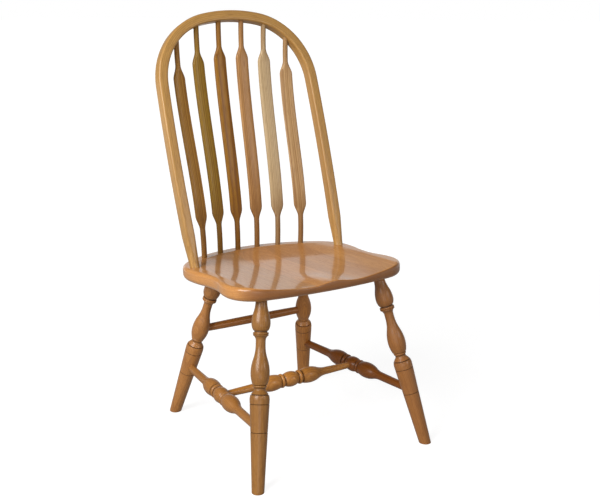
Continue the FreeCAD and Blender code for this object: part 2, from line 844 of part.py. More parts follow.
def make_bow():
    """The bent bow: a stick with eased edges, feet tapered to round tenons that pass through the seat."""
    body = new_body("bow_stick")
    top = bow.side_at(size("bow_taper_top"))
    low = bow.side_at(size("bow_taper_end"))
    path = new_sketch(body, "bow_path", "XZ_Plane")
    bow_path(path)
    half_width = size("bow_width") / 2.0
    half_depth = size("bow_depth") / 2.0
    section = new_sketch(body, "bow_section", "XY_Plane", ["bow_taper_top"])
    rounded_section(section, -top.x, half_width, half_depth, size("bow_edge_round"))
    doc.recompute()
    stick = body.newObject("PartDesign::AdditivePipe", "bow_bend")
    stick.Profile = (section, [""])
    stick.Spine = (path, [""])
    doc.recompute()
    tenon = size("bow_tenon_radius")
    taper_from = new_sketch(body, "bow_taper_from", "XY_Plane", ["bow_taper_top"])
    rounded_section(taper_from, -top.x, half_width, half_depth, size("bow_edge_round"))
    taper_to = new_sketch(body, "bow_taper_to", "XY_Plane", ["bow_taper_end"])
    rounded_section(taper_to, -low.x, tenon, tenon, tenon * 0.99)
    doc.recompute()
    taper = body.newObject("PartDesign::AdditiveLoft", "bow_taper")
    taper.Profile = (taper_from, [""])
    taper.Sections = [(taper_to, [""])]
    doc.recompute()
    round_end = new_sketch(body, "bow_round_end", "XY_Plane", ["bow_taper_end"])
    rounded_section(round_end, -low.x, tenon, tenon, tenon * 0.99)
    doc.recompute()
    peg_end = body.newObject("PartDesign::Pad", "bow_tenon")
    peg_end.Profile = (round_end, [""])
    peg_end.Length = size("seat_thickness") + CLEAR / 2.0
    peg_end.Reversed = True
    doc.recompute()
    mirror(body, "bow_other_foot", [taper, peg_end], "YZ_Plane")
    body.Placement = bow_frame
    doc.recompute()
    return body


def bow_foot_axis(side):
    """The low end of a bow foot's taper, and the direction of its tenon."""
    low = bow.side_at(size("bow_taper_end"))
    point = on_bow(Vector(side * low.x, low.y, 0.0))
    return point, bow_frame.Rotation.multVec(Vector(0, 0, 1))


def underside_block(name):
    """A block under the seat, which saws the bow's tenons off flush."""
    corner = Vector(-size("seat_rear_half") - CLEAR, -size("seat_back"), -size("seat_thickness") - 2 * CLEAR)
    extent = Vector(2 * (size("seat_rear_half") + CLEAR), 2 * size("seat_back"), 2 * CLEAR)
    return block(name, corner, extent, seat_frame)


def wedge_tool(name, side, gap):
    """A thin wedge set into the end of a bow tenon from below, wider by a gap when it cuts the slot."""
    point, direction = bow_foot_axis(side)
    local = seat_frame.inverse().multVec(point)
    local_direction = seat_frame.Rotation.inverted().multVec(direction)
    reach = (local.z + size("seat_thickness")) / local_direction.z
    end = point - direction * reach
    wedge = doc.addObject("Part::Wedge", name)
    half_thick = size("wedge_thick") / 2.0 + gap
    half_thin = size("wedge_thin") / 2.0 + gap
    radius = size("bow_tenon_radius") + gap
    wedge.Xmin, wedge.Xmax = -half_thick, half_thick
    wedge.X2min, wedge.X2max = -half_thin, half_thin
    wedge.Zmin, wedge.Zmax = -radius, radius
    wedge.Z2min, wedge.Z2max = -radius, radius
    wedge.Ymin, wedge.Ymax = 0.0, size("wedge_length") + gap
    stand = Placement(Vector(), Rotation(Vector(1, 0, 0), 90.0))
    wedge.Placement = Placement(end, bow_frame.Rotation).multiply(stand)
    return wedge


def make_wedges():
    """The two wedges that spread the bow's tenons, trimmed to the tenon's round and flush below."""
    pieces = []
    for side, word in ((-1, "left"), (1, "right")):
        blank = wedge_tool("wedge_blank_" + word, side, 0.0)
        point, direction = bow_foot_axis(side)
        start = point - direction * CLEAR * 2
        trim = peg("wedge_trim_" + word, ["bow_tenon_radius"], start, direction, 3 * CLEAR)
        rounded = doc.addObject("Part::Common", "wedge_round_" + word)
        rounded.Base = blank
        rounded.Tool = trim
        doc.recompute()
        pieces.append(cut("wedge_" + word, rounded, [underside_block("wedge_saw_" + word)]))
    group = doc.addObject("Part::Compound", "bow_wedges")
    group.Links = pieces
    doc.recompute()
    finish("bow_wedges", group)


class Spindle:
    """One spindle's place: its foot on the seat and its top on the bow's centre line."""

    def __init__(self, number):
        side = -1.0 if number < SPINDLE_COUNT / 2 else 1.0
        from_middle = abs(number - (SPINDLE_COUNT - 1) / 2.0)
        top_words = ("spindle_top_inner", "spindle_top_middle", "spindle_top_outer")
        across = from_middle * size("spindle_spacing")
        arc = size("spindle_line_arc")
        back = size("spindle_line_back") - arc + math.sqrt(arc ** 2 - across ** 2)
        self.foot = on_seat(side * across, back)
        curve_point = bow.crown_at(size(top_words[int(from_middle)]))
        self.top = on_bow(Vector(side * curve_point.x, curve_point.y, 0.0))
        self.top -= Vector(0.0, size("spindle_set_forward"), 0.0)
        self.height = self.top.z - self.foot.z
        self.lean_x = (self.top.x - self.foot.x) / self.height
        self.set_back = self.top.y - self.foot.y
        self.turn = -side * from_middle * size("blade_turn")
        self.direction = Vector(self.lean_x, 0.0, 1.0).normalize()

    def centre(self, rise):
        """The centre of the spindle at a height above its foot: an S bend between upright ends."""
        bent = self.height - size("spindle_straight_foot") - size("spindle_straight_top")
        share = (rise - size("spindle_straight_foot")) / bent
        share = min(max(share, 0.0), 1.0)
        back = self.set_back * (3.0 * share ** 2 - 2.0 * share ** 3)
        return self.foot + Vector(self.lean_x * rise, back, rise)

    def sections(self):
        """Heights with half width, half thickness and handle length of the cross-section there."""
        foot = size("spindle_foot_radius")
        top = size("spindle_top_radius")
        flare = size("spindle_flare")
        low = size("spindle_neck_low")
        high = self.height - size("spindle_neck_high")
        result = []
        for rise in (-size("spindle_seat_tenon"), 0.0, 0.4 * low, 0.7 * low, 0.9 * low):
            result.append((rise, foot, foot, ROUND_HANDLE))
        for step in range(FLARE_SECTIONS + 1):
            share = step / FLARE_SECTIONS
            result.append(flare_section(low + share * flare, share, foot))
        blade_low = low + 1.2 * flare
        blade_high = high - 1.2 * flare
        for step in range(BLADE_SECTIONS + 1):
            rise = blade_low + (blade_high - blade_low) * step / BLADE_SECTIONS
            result.append(flare_section(rise, 1.0, foot))
        for step in range(FLARE_SECTIONS + 1):
            share = 1.0 - step / FLARE_SECTIONS
            result.append(flare_section(high - share * flare, share, top))
        rest = self.height - high
        for rise in (high + 0.1 * rest, high + 0.4 * rest, high + 0.8 * rest):
            result.append((rise, top, top, ROUND_HANDLE))
        result.append((self.height + size("spindle_bow_tenon"), top, top, ROUND_HANDLE))
        return result


def flare_section(rise, share, radius):
    """The section part of the way from the round stick to the blade, with soft ends to the flare."""
    soft = share ** 2 * (3.0 - 2.0 * share)
    half_width = radius + (size("blade_half_width") - radius) * soft
    half_thick = radius + (size("blade_half_thick") - radius) * soft
    return (rise, half_width, half_thick, ROUND_HANDLE + (BLADE_HANDLE - ROUND_HANDLE) * soft)


def section_poles(centre, turn_round, half_width, half_thick, handle):
    """The control points of a level outline of four quarter curves, turned by an angle in degrees."""
    turned = Rotation(Vector(0, 0, 1), turn_round)
    corners = []
    for turn in range(4):
        angle = turn * math.pi / 2
        corners.append((math.cos(angle) * half_width, math.sin(angle) * half_thick))
    quarters = []
    for turn in range(4):
        x0, y0 = corners[turn]
        x1, y1 = corners[(turn + 1) % 4]
        poles = [
            Vector(x0, y0, 0),
            Vector(x0 + x1 * handle, y0 + y1 * handle, 0),
            Vector(x1 + x0 * handle, y1 + y0 * handle, 0),
            Vector(x1, y1, 0),
        ]
        quarters.append([centre + turned.multVec(pole) for pole in poles])
    return quarters


def end_face(quarters):
    """The flat end of a skin, inside its first or last outline."""
    edges = []
    for poles in quarters:
        curve = Part.BezierCurve()
        curve.setPoles(poles)
        edges.append(curve.toShape())
    return Part.Face(Part.Wire(edges))


def skin(rises, outlines):
    """A solid with four long smooth faces that pass through a row of outlines at given rises."""
    faces = [end_face(outlines[0]), end_face(outlines[-1])]
    for turn in range(4):
        lines = []
        for number in range(4):
            line = Part.BSplineCurve()
            line.interpolate(Points=[quarters[turn][number] for quarters in outlines], Parameters=rises)
            lines.append(line)
        surface = Part.BSplineSurface()
        surface.buildFromPolesMultsKnots(
            [line.getPoles() for line in lines],
            [4, 4],
            lines[0].getMultiplicities(),
            [0.0, 1.0],
            lines[0].getKnots(),
            False,
            False,
            3,
            lines[0].Degree,
        )
        faces.append(surface.toShape())
    shell = Part.makeShell(faces)
    shell.sewShape()
    solid = Part.makeSolid(shell)
    if solid.Volume < 0.0:
        solid.reverse()
    return solid


def make_spindles():
    """The six spindles."""
    for number, spindle in enumerate(SPINDLES):
        rises = []
        outlines = []
        for rise, half_width, half_thick, handle in spindle.sections():
            rises.append(rise)
            centre = spindle.centre(rise)
            outlines.append(section_poles(centre, spindle.turn, half_width, half_thick, handle))
        item = doc.addObject("Part::Feature", "spindle_%d" % (number + 1))
        item.Shape = skin(rises, outlines)
        finish("spindle_%d" % (number + 1), item)


SPINDLES = [Spindle(number) for number in range(SPINDLE_COUNT)]


def bow_with_mortises(body):
    """Bores the bow for the spindle tops, saws its tenons flush and slots them for the wedges."""
    tools = [underside_block("bow_saw")]
    for number, spindle in enumerate(SPINDLES):
        start = spindle.top - spindle.direction * CLEAR / 2
        length = CLEAR / 2 + size("spindle_bow_tenon") + size("end_gap")
        radius_terms = ["spindle_top_radius", "glue_gap"]
        tools.append(peg("bow_mortise_%d" % (number + 1), radius_terms, start, spindle.direction, length))
    for side, word in ((-1, "left"), (1, "right")):
        tools.append(wedge_tool("bow_slot_" + word, side, size("glue_gap")))
    finish("bow", cut("bow", body, tools))


def seat_outline(sketch):
    """The right half of the seat blank, seen from above: convex front and back, waisted sides."""
    outline = Outline(sketch, [], ["-seat_front"], down=False)
    front = Vector(0.0, -size("seat_front"), 0.0)
    front_centre = front + Vector(0.0, size("seat_front_arc"), 0.0)
    corner_side = Vector(size("seat_front_half"), -size("seat_front_widest"), 0.0)
    front_corner = corner_radius(front_centre, size("seat_front_arc"), corner_side)
    front_hub = corner_side - Vector(front_corner, 0.0, 0.0)
    front_meet = outward_point(front_centre, front_hub, size("seat_front_arc"))
    back = Vector(0.0, size("seat_back"), 0.0)
    back_centre = back - Vector(0.0, size("seat_back_arc"), 0.0)
    rear_side = Vector(size("seat_rear_half"), size("seat_rear_widest"), 0.0)
    rear_corner = corner_radius(back_centre, size("seat_back_arc"), rear_side)
    rear_hub = rear_side - Vector(rear_corner, 0.0, 0.0)
    rear_meet = outward_point(back_centre, rear_hub, size("seat_back_arc"))
    # Front edge, front corner
    edge, first, last = outline.add_arc(front, middle_of(front_centre, front, front_meet), front_meet)
    outline.join(edge, first)
    outline.pin(edge, first, [], front)
    sketch.addConstraint(Sketcher.Constraint("PointOnObject", edge, 3, -2))
    tie_radius(sketch, edge, "seat_front_arc")
    corner_mid = middle_of(front_hub, front_meet, corner_side)
    turn, turn_first, turn_last = outline.add_arc(front_meet, corner_mid, corner_side)
    sketch.addConstraint(Sketcher.Constraint("Tangent", edge, last, turn, turn_first))
    outline.level(turn, turn_last)
    outline.along = ["-seat_front_widest"]
    outline.pin(turn, turn_last, ["seat_front_half"], corner_side)
    outline.open_end = (turn, turn_last)
    outline.here = corner_side
    # Waisted side
    outline.sway(["seat_waist_half"], ["seat_front_widest", "-seat_waist_at"])
    outline.sway(["seat_rear_half"], ["seat_waist_at", "seat_rear_widest"])
    # Rear corner, back edge
    rear_mid = middle_of(rear_hub, rear_side, rear_meet)
    turn, turn_first, turn_last = outline.add_arc(rear_side, rear_mid, rear_meet)
    outline.join(turn, turn_first)
    outline.level(turn, turn_first)
    edge, first, last = outline.add_arc(rear_meet, middle_of(back_centre, rear_meet, back), back)
    sketch.addConstraint(Sketcher.Constraint("Tangent", turn, turn_last, edge, first))
    sketch.addConstraint(Sketcher.Constraint("PointOnObject", edge, 3, -2))
    tie_radius(sketch, edge, "seat_back_arc")
    outline.along = ["seat_back"]
    outline.pin(edge, last, [], back)
    outline.open_end = (edge, last)
    middle_line = sketch.addGeometry(Part.LineSegment(back, front), False)
    outline.join(middle_line, 1)
    first_geo, first_pos = outline.start_end
    sketch.addConstraint(Sketcher.Constraint("Coincident", middle_line, 2, first_geo, first_pos))


def tie_radius(sketch, geo, alias):
    """Ties an arc's radius to the sheet."""
    index = sketch.addConstraint(Sketcher.Constraint("Radius", geo, size(alias)))
    sketch.setExpression("Constraints[%d]" % index, formula([alias]))


def corner_radius(centre, radius, side_point):
    """The radius of a corner that leaves a side upright and meets an arc on the middle line."""
    along = side_point.y - centre.y
    across = side_point.x
    return (radius ** 2 - across ** 2 - along ** 2) / (2.0 * (radius - across))


def outward_point(centre, hub, radius):
    """The point of a circle that lies beyond a hub, where a corner runs into it."""
    return centre + (hub - centre).normalize() * radius


def scoop_depth(x, y):
    """How far the saddle lies below the seat's flat top. Below zero, outside it, nothing is cut."""
    side = 1.0 - (x / size("scoop_half_width")) ** 2
    arc = size("spindle_line_arc")
    crease_radius = arc - size("crease_ahead")
    from_crease = crease_radius - math.hypot(x, y - size("spindle_line_back") + arc)
    run = min(max(from_crease / size("scoop_run"), -1.0), 1.0)
    step = size("crease_step")
    depth = (step + (size("scoop_depth") - step) * math.sin(run * math.pi / 2)) * side
    ahead = (size("pommel_length") - size("seat_front") - y) / size("pommel_length")
    ahead = min(max(ahead, 0.0), 1.0)
    ridge = math.exp(-(x / size("pommel_width")) ** 2)
    return depth - size("pommel_height") * ridge * (3.0 * ahead ** 2 - 2.0 * ahead ** 3)


def make_scoop():
    """The cutting tool for the saddle: everything above its surface, inside the crease."""
    half = size("seat_front_half") + CLEAR / 4
    front = -size("seat_front") - CLEAR / 4
    back = size("spindle_line_back") + CLEAR / 4
    rows = []
    for i in range(SCOOP_STEPS + 1):
        x = -half + 2 * half * i / SCOOP_STEPS
        row = []
        for j in range(SCOOP_STEPS + 1):
            y = front + (back - front) * j / SCOOP_STEPS
            row.append(Vector(x, y, -scoop_depth(x, y)))
        rows.append(row)
    surface = Part.BSplineSurface()
    surface.interpolate(rows)
    above = surface.toShape().extrude(Vector(0, 0, CLEAR))
    arc = size("spindle_line_arc")
    centre = Vector(0.0, size("spindle_line_back") - arc, -CLEAR)
    inside = Part.makeCylinder(arc - size("crease_ahead"), 2 * CLEAR, centre)
    tool = doc.addObject("Part::Feature", "saddle_cutter")
    tool.Shape = above.common(inside)
    tool.Placement = seat_frame
    return tool


def seat_mortises():
    """Holes in the seat for the four legs, the two bow feet and the six spindles."""
    tools = []
    gap = size("end_gap")
    for name, axis in LEGS.items():
        start = axis.top - axis.direction * CLEAR / 2
        length = CLEAR / 2 + size("leg_tenon_length") + leg_rise(name) + gap
        tools.append(peg(name + "_mortise", ["leg_top_radius", "glue_gap"], start, axis.direction, length))
    for side, word in ((-1, "left"), (1, "right")):
        point, direction = bow_foot_axis(side)
        start = point - direction * 2 * CLEAR
        tools.append(peg("bow_hole_" + word, ["bow_tenon_radius", "glue_gap"], start, direction, 3 * CLEAR))
    for number, spindle in enumerate(SPINDLES):
        bottom = spindle.foot - spindle.direction * (size("spindle_seat_tenon") + gap)
        radius_terms = ["spindle_foot_radius", "glue_gap"]
        tools.append(peg("seat_mortise_%d" % (number + 1), radius_terms, bottom, spindle.direction, CLEAR))
    return tools


def make_seat():
    """The seat blank, saddled and bored, then parted into its five glued boards."""
    body = new_body("seat_blank")
    sketch = new_sketch(body, "seat_plan", "XY_Plane")
    seat_outline(sketch)
    doc.recompute()
    pad = body.newObject("PartDesign::Pad", "seat_board_stock")
    pad.Profile = (sketch, [""])
    bind(pad, "Length", ["seat_thickness"])
    pad.Reversed = True
    doc.recompute()
    mirrored = mirror(body, "seat_other_half", [pad], "YZ_Plane")
    for name, level, alias in (
        ("seat_top_edge", 0.0, "seat_top_round"),
        ("seat_bottom_edge", -size("seat_thickness"), "seat_bottom_round"),
    ):
        base = body.Tip
        names = []
        for number, edge in enumerate(base.Shape.Edges, start=1):
            box = edge.BoundBox
            if abs(box.ZMax - level) < 1e-4 and abs(box.ZMin - level) < 1e-4:
                names.append("Edge%d" % number)
        fillet = body.newObject("PartDesign::Fillet", name)
        fillet.Base = (base, names)
        bind(fillet, "Radius", [alias])
        body.Tip = fillet
        doc.recompute()
    body.Placement = seat_frame
    doc.recompute()
    seat = cut("seat_bored", cut("seat_saddled", body, [make_scoop()]), seat_mortises())
    joints = [
        -size("seat_front_half") - CLEAR,
        -size("board_joint_left"),
        -size("board_joint_mid_left"),
        size("board_joint_mid_right"),
        size("board_joint_right"),
        size("seat_front_half") + CLEAR,
    ]
    depth = size("seat_front") + size("seat_back") + 2 * CLEAR
    for number in range(len(joints) - 1):
        corner = Vector(joints[number], -size("seat_front") - CLEAR, -CLEAR)
        extent = Vector(joints[number + 1] - joints[number], depth, 2 * CLEAR)
        name = "seat_board_%d" % (number + 1)
        slab = block(name + "_slab", corner, extent, seat_frame)
        board = doc.addObject("Part::Common", name)
        board.Base = seat
        board.Tool = slab
        doc.recompute()
        finish(name, board)


def check_everything():
    """Stops if any object failed or any finished piece has no sound shape."""
    doc.recompute()
    for item in doc.Objects:
        if "Invalid" in item.State or "Error" in item.State:
            raise RuntimeError("failed object: %s %s" % (item.Name, item.State))
    for name, item in finished.items():
        shape = item.Shape
        if shape.isNull() or not shape.isValid() or not shape.Solids:
            raise RuntimeError("bad shape: " + name)


def write_parts():
    """Writes each finished piece to its own file and prints the chair's box."""
    os.makedirs("parts", exist_ok=True)
    box = FreeCAD.BoundBox()
    for name, item in finished.items():
        item.Shape.exportStep("parts/%s.step" % name)
        box.add(item.Shape.BoundBox)
        print("%-22s solids %d  volume %.0f" % (name, len(item.Shape.Solids), item.Shape.Volume))
    print("box x %.2f %.2f  y %.2f %.2f  z %.2f %.2f" % (box.XMin, box.XMax, box.YMin, box.YMax, box.ZMin, box.ZMax))


make_seat()
make_legs()
make_stretchers()
bow_with_mortises(make_bow())
make_wedges()
make_spindles()
check_everything()
write_parts()
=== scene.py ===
"""Bow-back windsor side chair: its turned, bent and carved wood, the lacquer on it, and the studio.

Sizes of the wood are in millimetres, as a chair maker reads them, and become metres when a mesh is
made. +Z is up, the sitter faces -Y, and the origin lies on the floor under the middle of the chair.
"""
import logging
import math
from collections.abc import Iterable
from dataclasses import dataclass, field
from enum import Enum
from typing import Any

import bmesh
import bpy
from mathutils import Euler, Matrix, Vector


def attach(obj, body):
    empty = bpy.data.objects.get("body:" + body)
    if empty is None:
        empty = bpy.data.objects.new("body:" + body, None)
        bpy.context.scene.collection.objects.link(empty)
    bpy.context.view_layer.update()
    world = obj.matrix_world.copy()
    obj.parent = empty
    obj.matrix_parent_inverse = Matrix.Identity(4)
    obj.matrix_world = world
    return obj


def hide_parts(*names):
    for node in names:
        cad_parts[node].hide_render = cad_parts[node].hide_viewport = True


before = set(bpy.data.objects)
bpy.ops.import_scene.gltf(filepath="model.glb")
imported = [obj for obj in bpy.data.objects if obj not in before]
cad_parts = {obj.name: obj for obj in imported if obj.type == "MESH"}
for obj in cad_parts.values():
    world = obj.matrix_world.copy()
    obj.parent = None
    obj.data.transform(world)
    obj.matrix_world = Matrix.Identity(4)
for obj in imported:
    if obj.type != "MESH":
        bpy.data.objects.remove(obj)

LOG = logging.getLogger("windsor_chair")
MM = 0.001
QUARTER_TURN = math.pi / 2
Colour = tuple[float, float, float]
Point = tuple[float, float]
Section = list[Point]
Socket = bpy.types.NodeSocket
Node = bpy.types.Node
Tree = bpy.types.NodeTree
Mesh = bpy.types.Mesh
Piece = bpy.types.Object
Work = bmesh.types.BMesh
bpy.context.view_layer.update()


class Side(Enum):
    """The two sides of the chair, as seen by someone who stands in front and looks at it."""

    LEFT = -1
    RIGHT = 1


class Row(Enum):
    """The two rows of legs."""

    FRONT = -1
    REAR = 1


class Layer(Enum):
    """The vertex attributes that the finishes read."""

    GRAIN = "grain"
    BURN = "burn"


# Node graphs


@dataclass
class Graph:
    """A node tree with short ways to add, fill and link its nodes."""

    tree: Tree
    source: Node | None = None
    result: Node | None = None

    def add(self, kind: str, inputs: dict[Any, Any] | None = None, **settings: Any) -> Node:
        """Adds a node.

        Args:
            kind: The node's type name.
            inputs: Values or sockets for its inputs, by name or number.
            **settings: Properties of the node itself.

        Returns:
            The new node.
        """
        node = self.tree.nodes.new(kind)
        for name, value in settings.items():
            setattr(node, name, value)
        self.fill(node, inputs or {})
        return node

    def first(self, kind: str, inputs: dict[Any, Any] | None = None, **settings: Any) -> Socket:
        """Adds a node and gives its first output."""
        return self.add(kind, inputs, **settings).outputs[0]

    def feed(self, socket: Socket, value: Any) -> None:
        """Links a socket to another one, or sets it to a plain value.

        Args:
            socket: The input that is fed.
            value: A socket, a number, a vector or a colour.
        """
        if isinstance(value, Socket):
            self.tree.links.new(value, socket)
        else:
            socket.default_value = value

    def fill(self, node: Node, values: dict[Any, Any]) -> None:
        """Feeds a node's inputs by their names or numbers."""
        for key, value in values.items():
            self.feed(node.inputs[key], value)

    def math(self, operation: str, *values: Any) -> Socket:
        """Adds a Math node and gives its result."""
        return self.first("ShaderNodeMath", dict(enumerate(values)), operation=operation)

    def vector(self, operation: str, *vectors: Any) -> Socket:
        """Adds a Vector Math node whose result is a vector."""
        node = self.add("ShaderNodeVectorMath", dict(enumerate(vectors)), operation=operation)
        return node.outputs["Vector"]

    def measure(self, operation: str, *vectors: Any) -> Socket:
        """Adds a Vector Math node whose result is a number."""
        node = self.add("ShaderNodeVectorMath", dict(enumerate(vectors)), operation=operation)
        return node.outputs["Value"]

    def scale(self, vector: Any, factor: Any) -> Socket:
        """Multiplies a vector by a number."""
        node = self.add("ShaderNodeVectorMath", {0: vector, "Scale": factor}, operation="SCALE")
        return node.outputs["Vector"]

    def noise(self, vector: Any, detail: float = 2.0, roughness: float = 0.5) -> Node:
        """Adds a noise of unit scale, whose size comes from its vector.

        Args:
            vector: Where the noise is read.
            detail: The octaves.
            roughness: How much the fine octaves weigh.

        Returns:
            The noise node.
        """
        inputs = {"Vector": vector, "Scale": 1.0, "Detail": detail, "Roughness": roughness}
        return self.add("ShaderNodeTexNoise", inputs)

    def ramp(self, value: Any, low: float, high: float) -> Socket:
        """Maps a value between two limits to 0 and 1, with eased ends.

        Args:
            value: The value.
            low: What becomes 0.
            high: What becomes 1.

        Returns:
            The mapped value.
        """
        inputs = {"Value": value, "From Min": low, "From Max": high}
        return self.add("ShaderNodeMapRange", inputs, interpolation_type="SMOOTHSTEP").outputs["Result"]

    def blend(self, factor: Any, first: Any, second: Any, mode: str = "MIX") -> Socket:
        """Mixes two colours.

        Args:
            factor: The share of the second colour.
            first: The first colour.
            second: The second colour.
            mode: The way of mixing.

        Returns:
            The mixed colour.
        """
        inputs = {0: factor, 6: first, 7: second}
        node = self.add("ShaderNodeMix", inputs, data_type="RGBA", blend_type=mode, clamp_factor=True)
        return node.outputs[2]


def new_group(
    name: str, kind: str, inputs: Iterable[tuple[str, str, Any]], outputs: Iterable[tuple[str, str]]
) -> Graph:
    """Starts a node group with named inputs and outputs.

    Args:
        name: The group's name.
        kind: The type of tree.
        inputs: Name, socket type and usual value of each input.
        outputs: Name and socket type of each output.

    Returns:
        The group's graph, which has its input and output nodes.
    """
    tree = bpy.data.node_groups.new(name, kind)
    for label, socket_type, usual in inputs:
        item = tree.interface.new_socket(name=label, in_out="INPUT", socket_type=socket_type)
        if usual is not None:
            item.default_value = usual
    for label, socket_type in outputs:
        tree.interface.new_socket(name=label, in_out="OUTPUT", socket_type=socket_type)
    return Graph(tree, tree.nodes.new("NodeGroupInput"), tree.nodes.new("NodeGroupOutput"))


# Finishes


class OakShading:
    """The shader groups that all the wood shares: its figure, and the stain and lacquer over it.

    The scale of a noise says how often it repeats in a metre, twice across the grain and once along it.
    """

    drift_scale = (16.0, 16.0, 2.6)
    fibre_scale = (620.0, 620.0, 7.0)
    patch_scale = (24.0, 24.0, 3.0)
    pore_scale = (1500.0, 1500.0, 42.0)
    smudge_scale = (38.0, 38.0, 11.0)
    smudge_shift = (2.0, 5.0, 1.0)
    seed_shift = (3.7, 1.9, 5.3)
    half = (0.5, 0.5, 0.5)
    ring_unevenness = 1.3
    late_wood = (0.25, 0.9)
    ring_end = (0.93, 1.0)
    pore_limits = (0.57, 0.68)
    late_closes_pores = 0.75
    fibre_share = 0.75
    patch_share = 0.8
    least_dark = 0.16
    pore_darkness = 0.5
    late_relief = 0.25
    fibre_relief = 0.3
    pore_depth = 0.9
    end_soak = 0.75
    burn_soak = 0.86
    smudge_roughness = 0.12
    pore_roughness = 0.12
    burn_roughness = 0.18

    def __init__(self) -> None:
        """Builds both groups once."""
        self.figure = self.build_figure()
        self.stain = self.build_stain()

    def build_figure(self) -> Tree:
        """Growth rings round a pith, open pores and fine fibres, read in the wood's own directions.

        Returns:
            The group, whose Grain input runs along the wood in Z.
        """
        inputs = [
            ("Grain", "NodeSocketVector", None),
            ("Pith", "NodeSocketVector", None),
            ("Seed", "NodeSocketFloat", 0.0),
            ("Ring Width", "NodeSocketFloat", 0.004),
            ("Waviness", "NodeSocketFloat", 0.006),
            ("Contrast", "NodeSocketFloat", 0.5),
            ("Pale", "NodeSocketColor", (0.6, 0.4, 0.2, 1.0)),
            ("Dark", "NodeSocketColor", (0.3, 0.18, 0.08, 1.0)),
        ]
        outputs = [("Color", "NodeSocketColor"), ("Height", "NodeSocketFloat"), ("Pores", "NodeSocketFloat")]
        graph = new_group("oak_figure", "ShaderNodeTree", inputs, outputs)
        source = graph.source.outputs
        seed = graph.vector("MULTIPLY", source["Seed"], self.seed_shift)
        grain = source["Grain"]

        def noise(scale: tuple[float, float, float], detail: float, roughness: float = 0.5) -> Node:
            """A noise stretched along the grain."""
            return graph.noise(graph.vector("MULTIPLY_ADD", grain, scale, seed), detail, roughness)

        centred = graph.vector("SUBTRACT", noise(self.drift_scale, 2.0).outputs["Color"], self.half)
        bent = graph.vector("ADD", grain, graph.scale(centred, source["Waviness"]))
        flat = graph.vector("MULTIPLY", graph.vector("SUBTRACT", bent, source["Pith"]), (1.0, 1.0, 0.0))
        rings = graph.math("DIVIDE", graph.measure("LENGTH", flat), source["Ring Width"])
        uneven = graph.noise(graph.first("ShaderNodeCombineXYZ", {"X": rings, "Y": source["Seed"]}), 1.0)
        spread = graph.math("MULTIPLY_ADD", uneven.outputs["Fac"], self.ring_unevenness, rings)
        phase = graph.math("FRACT", spread)
        fall = graph.math("SUBTRACT", 1.0, graph.ramp(phase, *self.ring_end))
        late = graph.math("MULTIPLY", graph.ramp(phase, *self.late_wood), fall)
        fibres = noise(self.fibre_scale, 3.0, 0.6).outputs["Fac"]
        patches = noise(self.patch_scale, 2.0).outputs["Fac"]
        specks = noise(self.pore_scale, 1.0).outputs["Fac"]
        early = graph.math("SUBTRACT", 1.0, graph.math("MULTIPLY", late, self.late_closes_pores))
        pores = graph.math("MULTIPLY", graph.ramp(specks, *self.pore_limits), early)
        figure = graph.math("MULTIPLY", late, source["Contrast"])
        for texture, share in ((fibres, self.fibre_share), (patches, self.patch_share)):
            figure = graph.math("MULTIPLY_ADD", graph.math("SUBTRACT", texture, 0.5), share, figure)
        figure = graph.math("ADD", figure, self.least_dark)
        wood = graph.blend(figure, source["Pale"], source["Dark"])
        darkness = graph.math("MULTIPLY", pores, self.pore_darkness)
        wood = graph.blend(darkness, wood, source["Dark"], "MULTIPLY")
        fine = graph.math("MULTIPLY", fibres, self.fibre_relief)
        relief = graph.math("MULTIPLY_ADD", late, self.late_relief, fine)
        height = graph.math("SUBTRACT", relief, graph.math("MULTIPLY", pores, self.pore_depth))
        graph.fill(graph.result, {"Color": wood, "Height": height, "Pores": pores})
        return graph.tree

    def build_stain(self) -> Tree:
        """Stain that gathers in scored lines and end grain, and the lacquer's uneven sheen.

        Returns:
            The group, which puts out the stained colour and the roughness.
        """
        inputs = [
            ("Color", "NodeSocketColor", None),
            ("Grain", "NodeSocketVector", None),
            ("Burn", "NodeSocketFloat", 0.0),
            ("End Grain", "NodeSocketFloat", 0.0),
            ("Pores", "NodeSocketFloat", 0.0),
            ("Stain", "NodeSocketColor", (0.1, 0.05, 0.02, 1.0)),
            ("Roughness", "NodeSocketFloat", 0.3),
        ]
        outputs = [("Color", "NodeSocketColor"), ("Roughness", "NodeSocketFloat")]
        graph = new_group("stain_and_lacquer", "ShaderNodeTree", inputs, outputs)
        source = graph.source.outputs
        soaked = graph.math("MULTIPLY", source["End Grain"], self.end_soak)
        depth = graph.math("MAXIMUM", soaked, graph.math("MULTIPLY", source["Burn"], self.burn_soak))
        stained = graph.blend(depth, source["Color"], source["Stain"])
        place = graph.vector("MULTIPLY_ADD", source["Grain"], self.smudge_scale, self.smudge_shift)
        smudge = graph.math("SUBTRACT", graph.noise(place, 3.0).outputs["Fac"], 0.5)
        rough = graph.math("MULTIPLY_ADD", smudge, self.smudge_roughness, source["Roughness"])
        rough = graph.math("MULTIPLY_ADD", source["Pores"], self.pore_roughness, rough)
        rough = graph.math("MULTIPLY_ADD", source["Burn"], self.burn_roughness, rough)
        graph.fill(graph.result, {"Color": stained, "Roughness": rough})
        return graph.tree


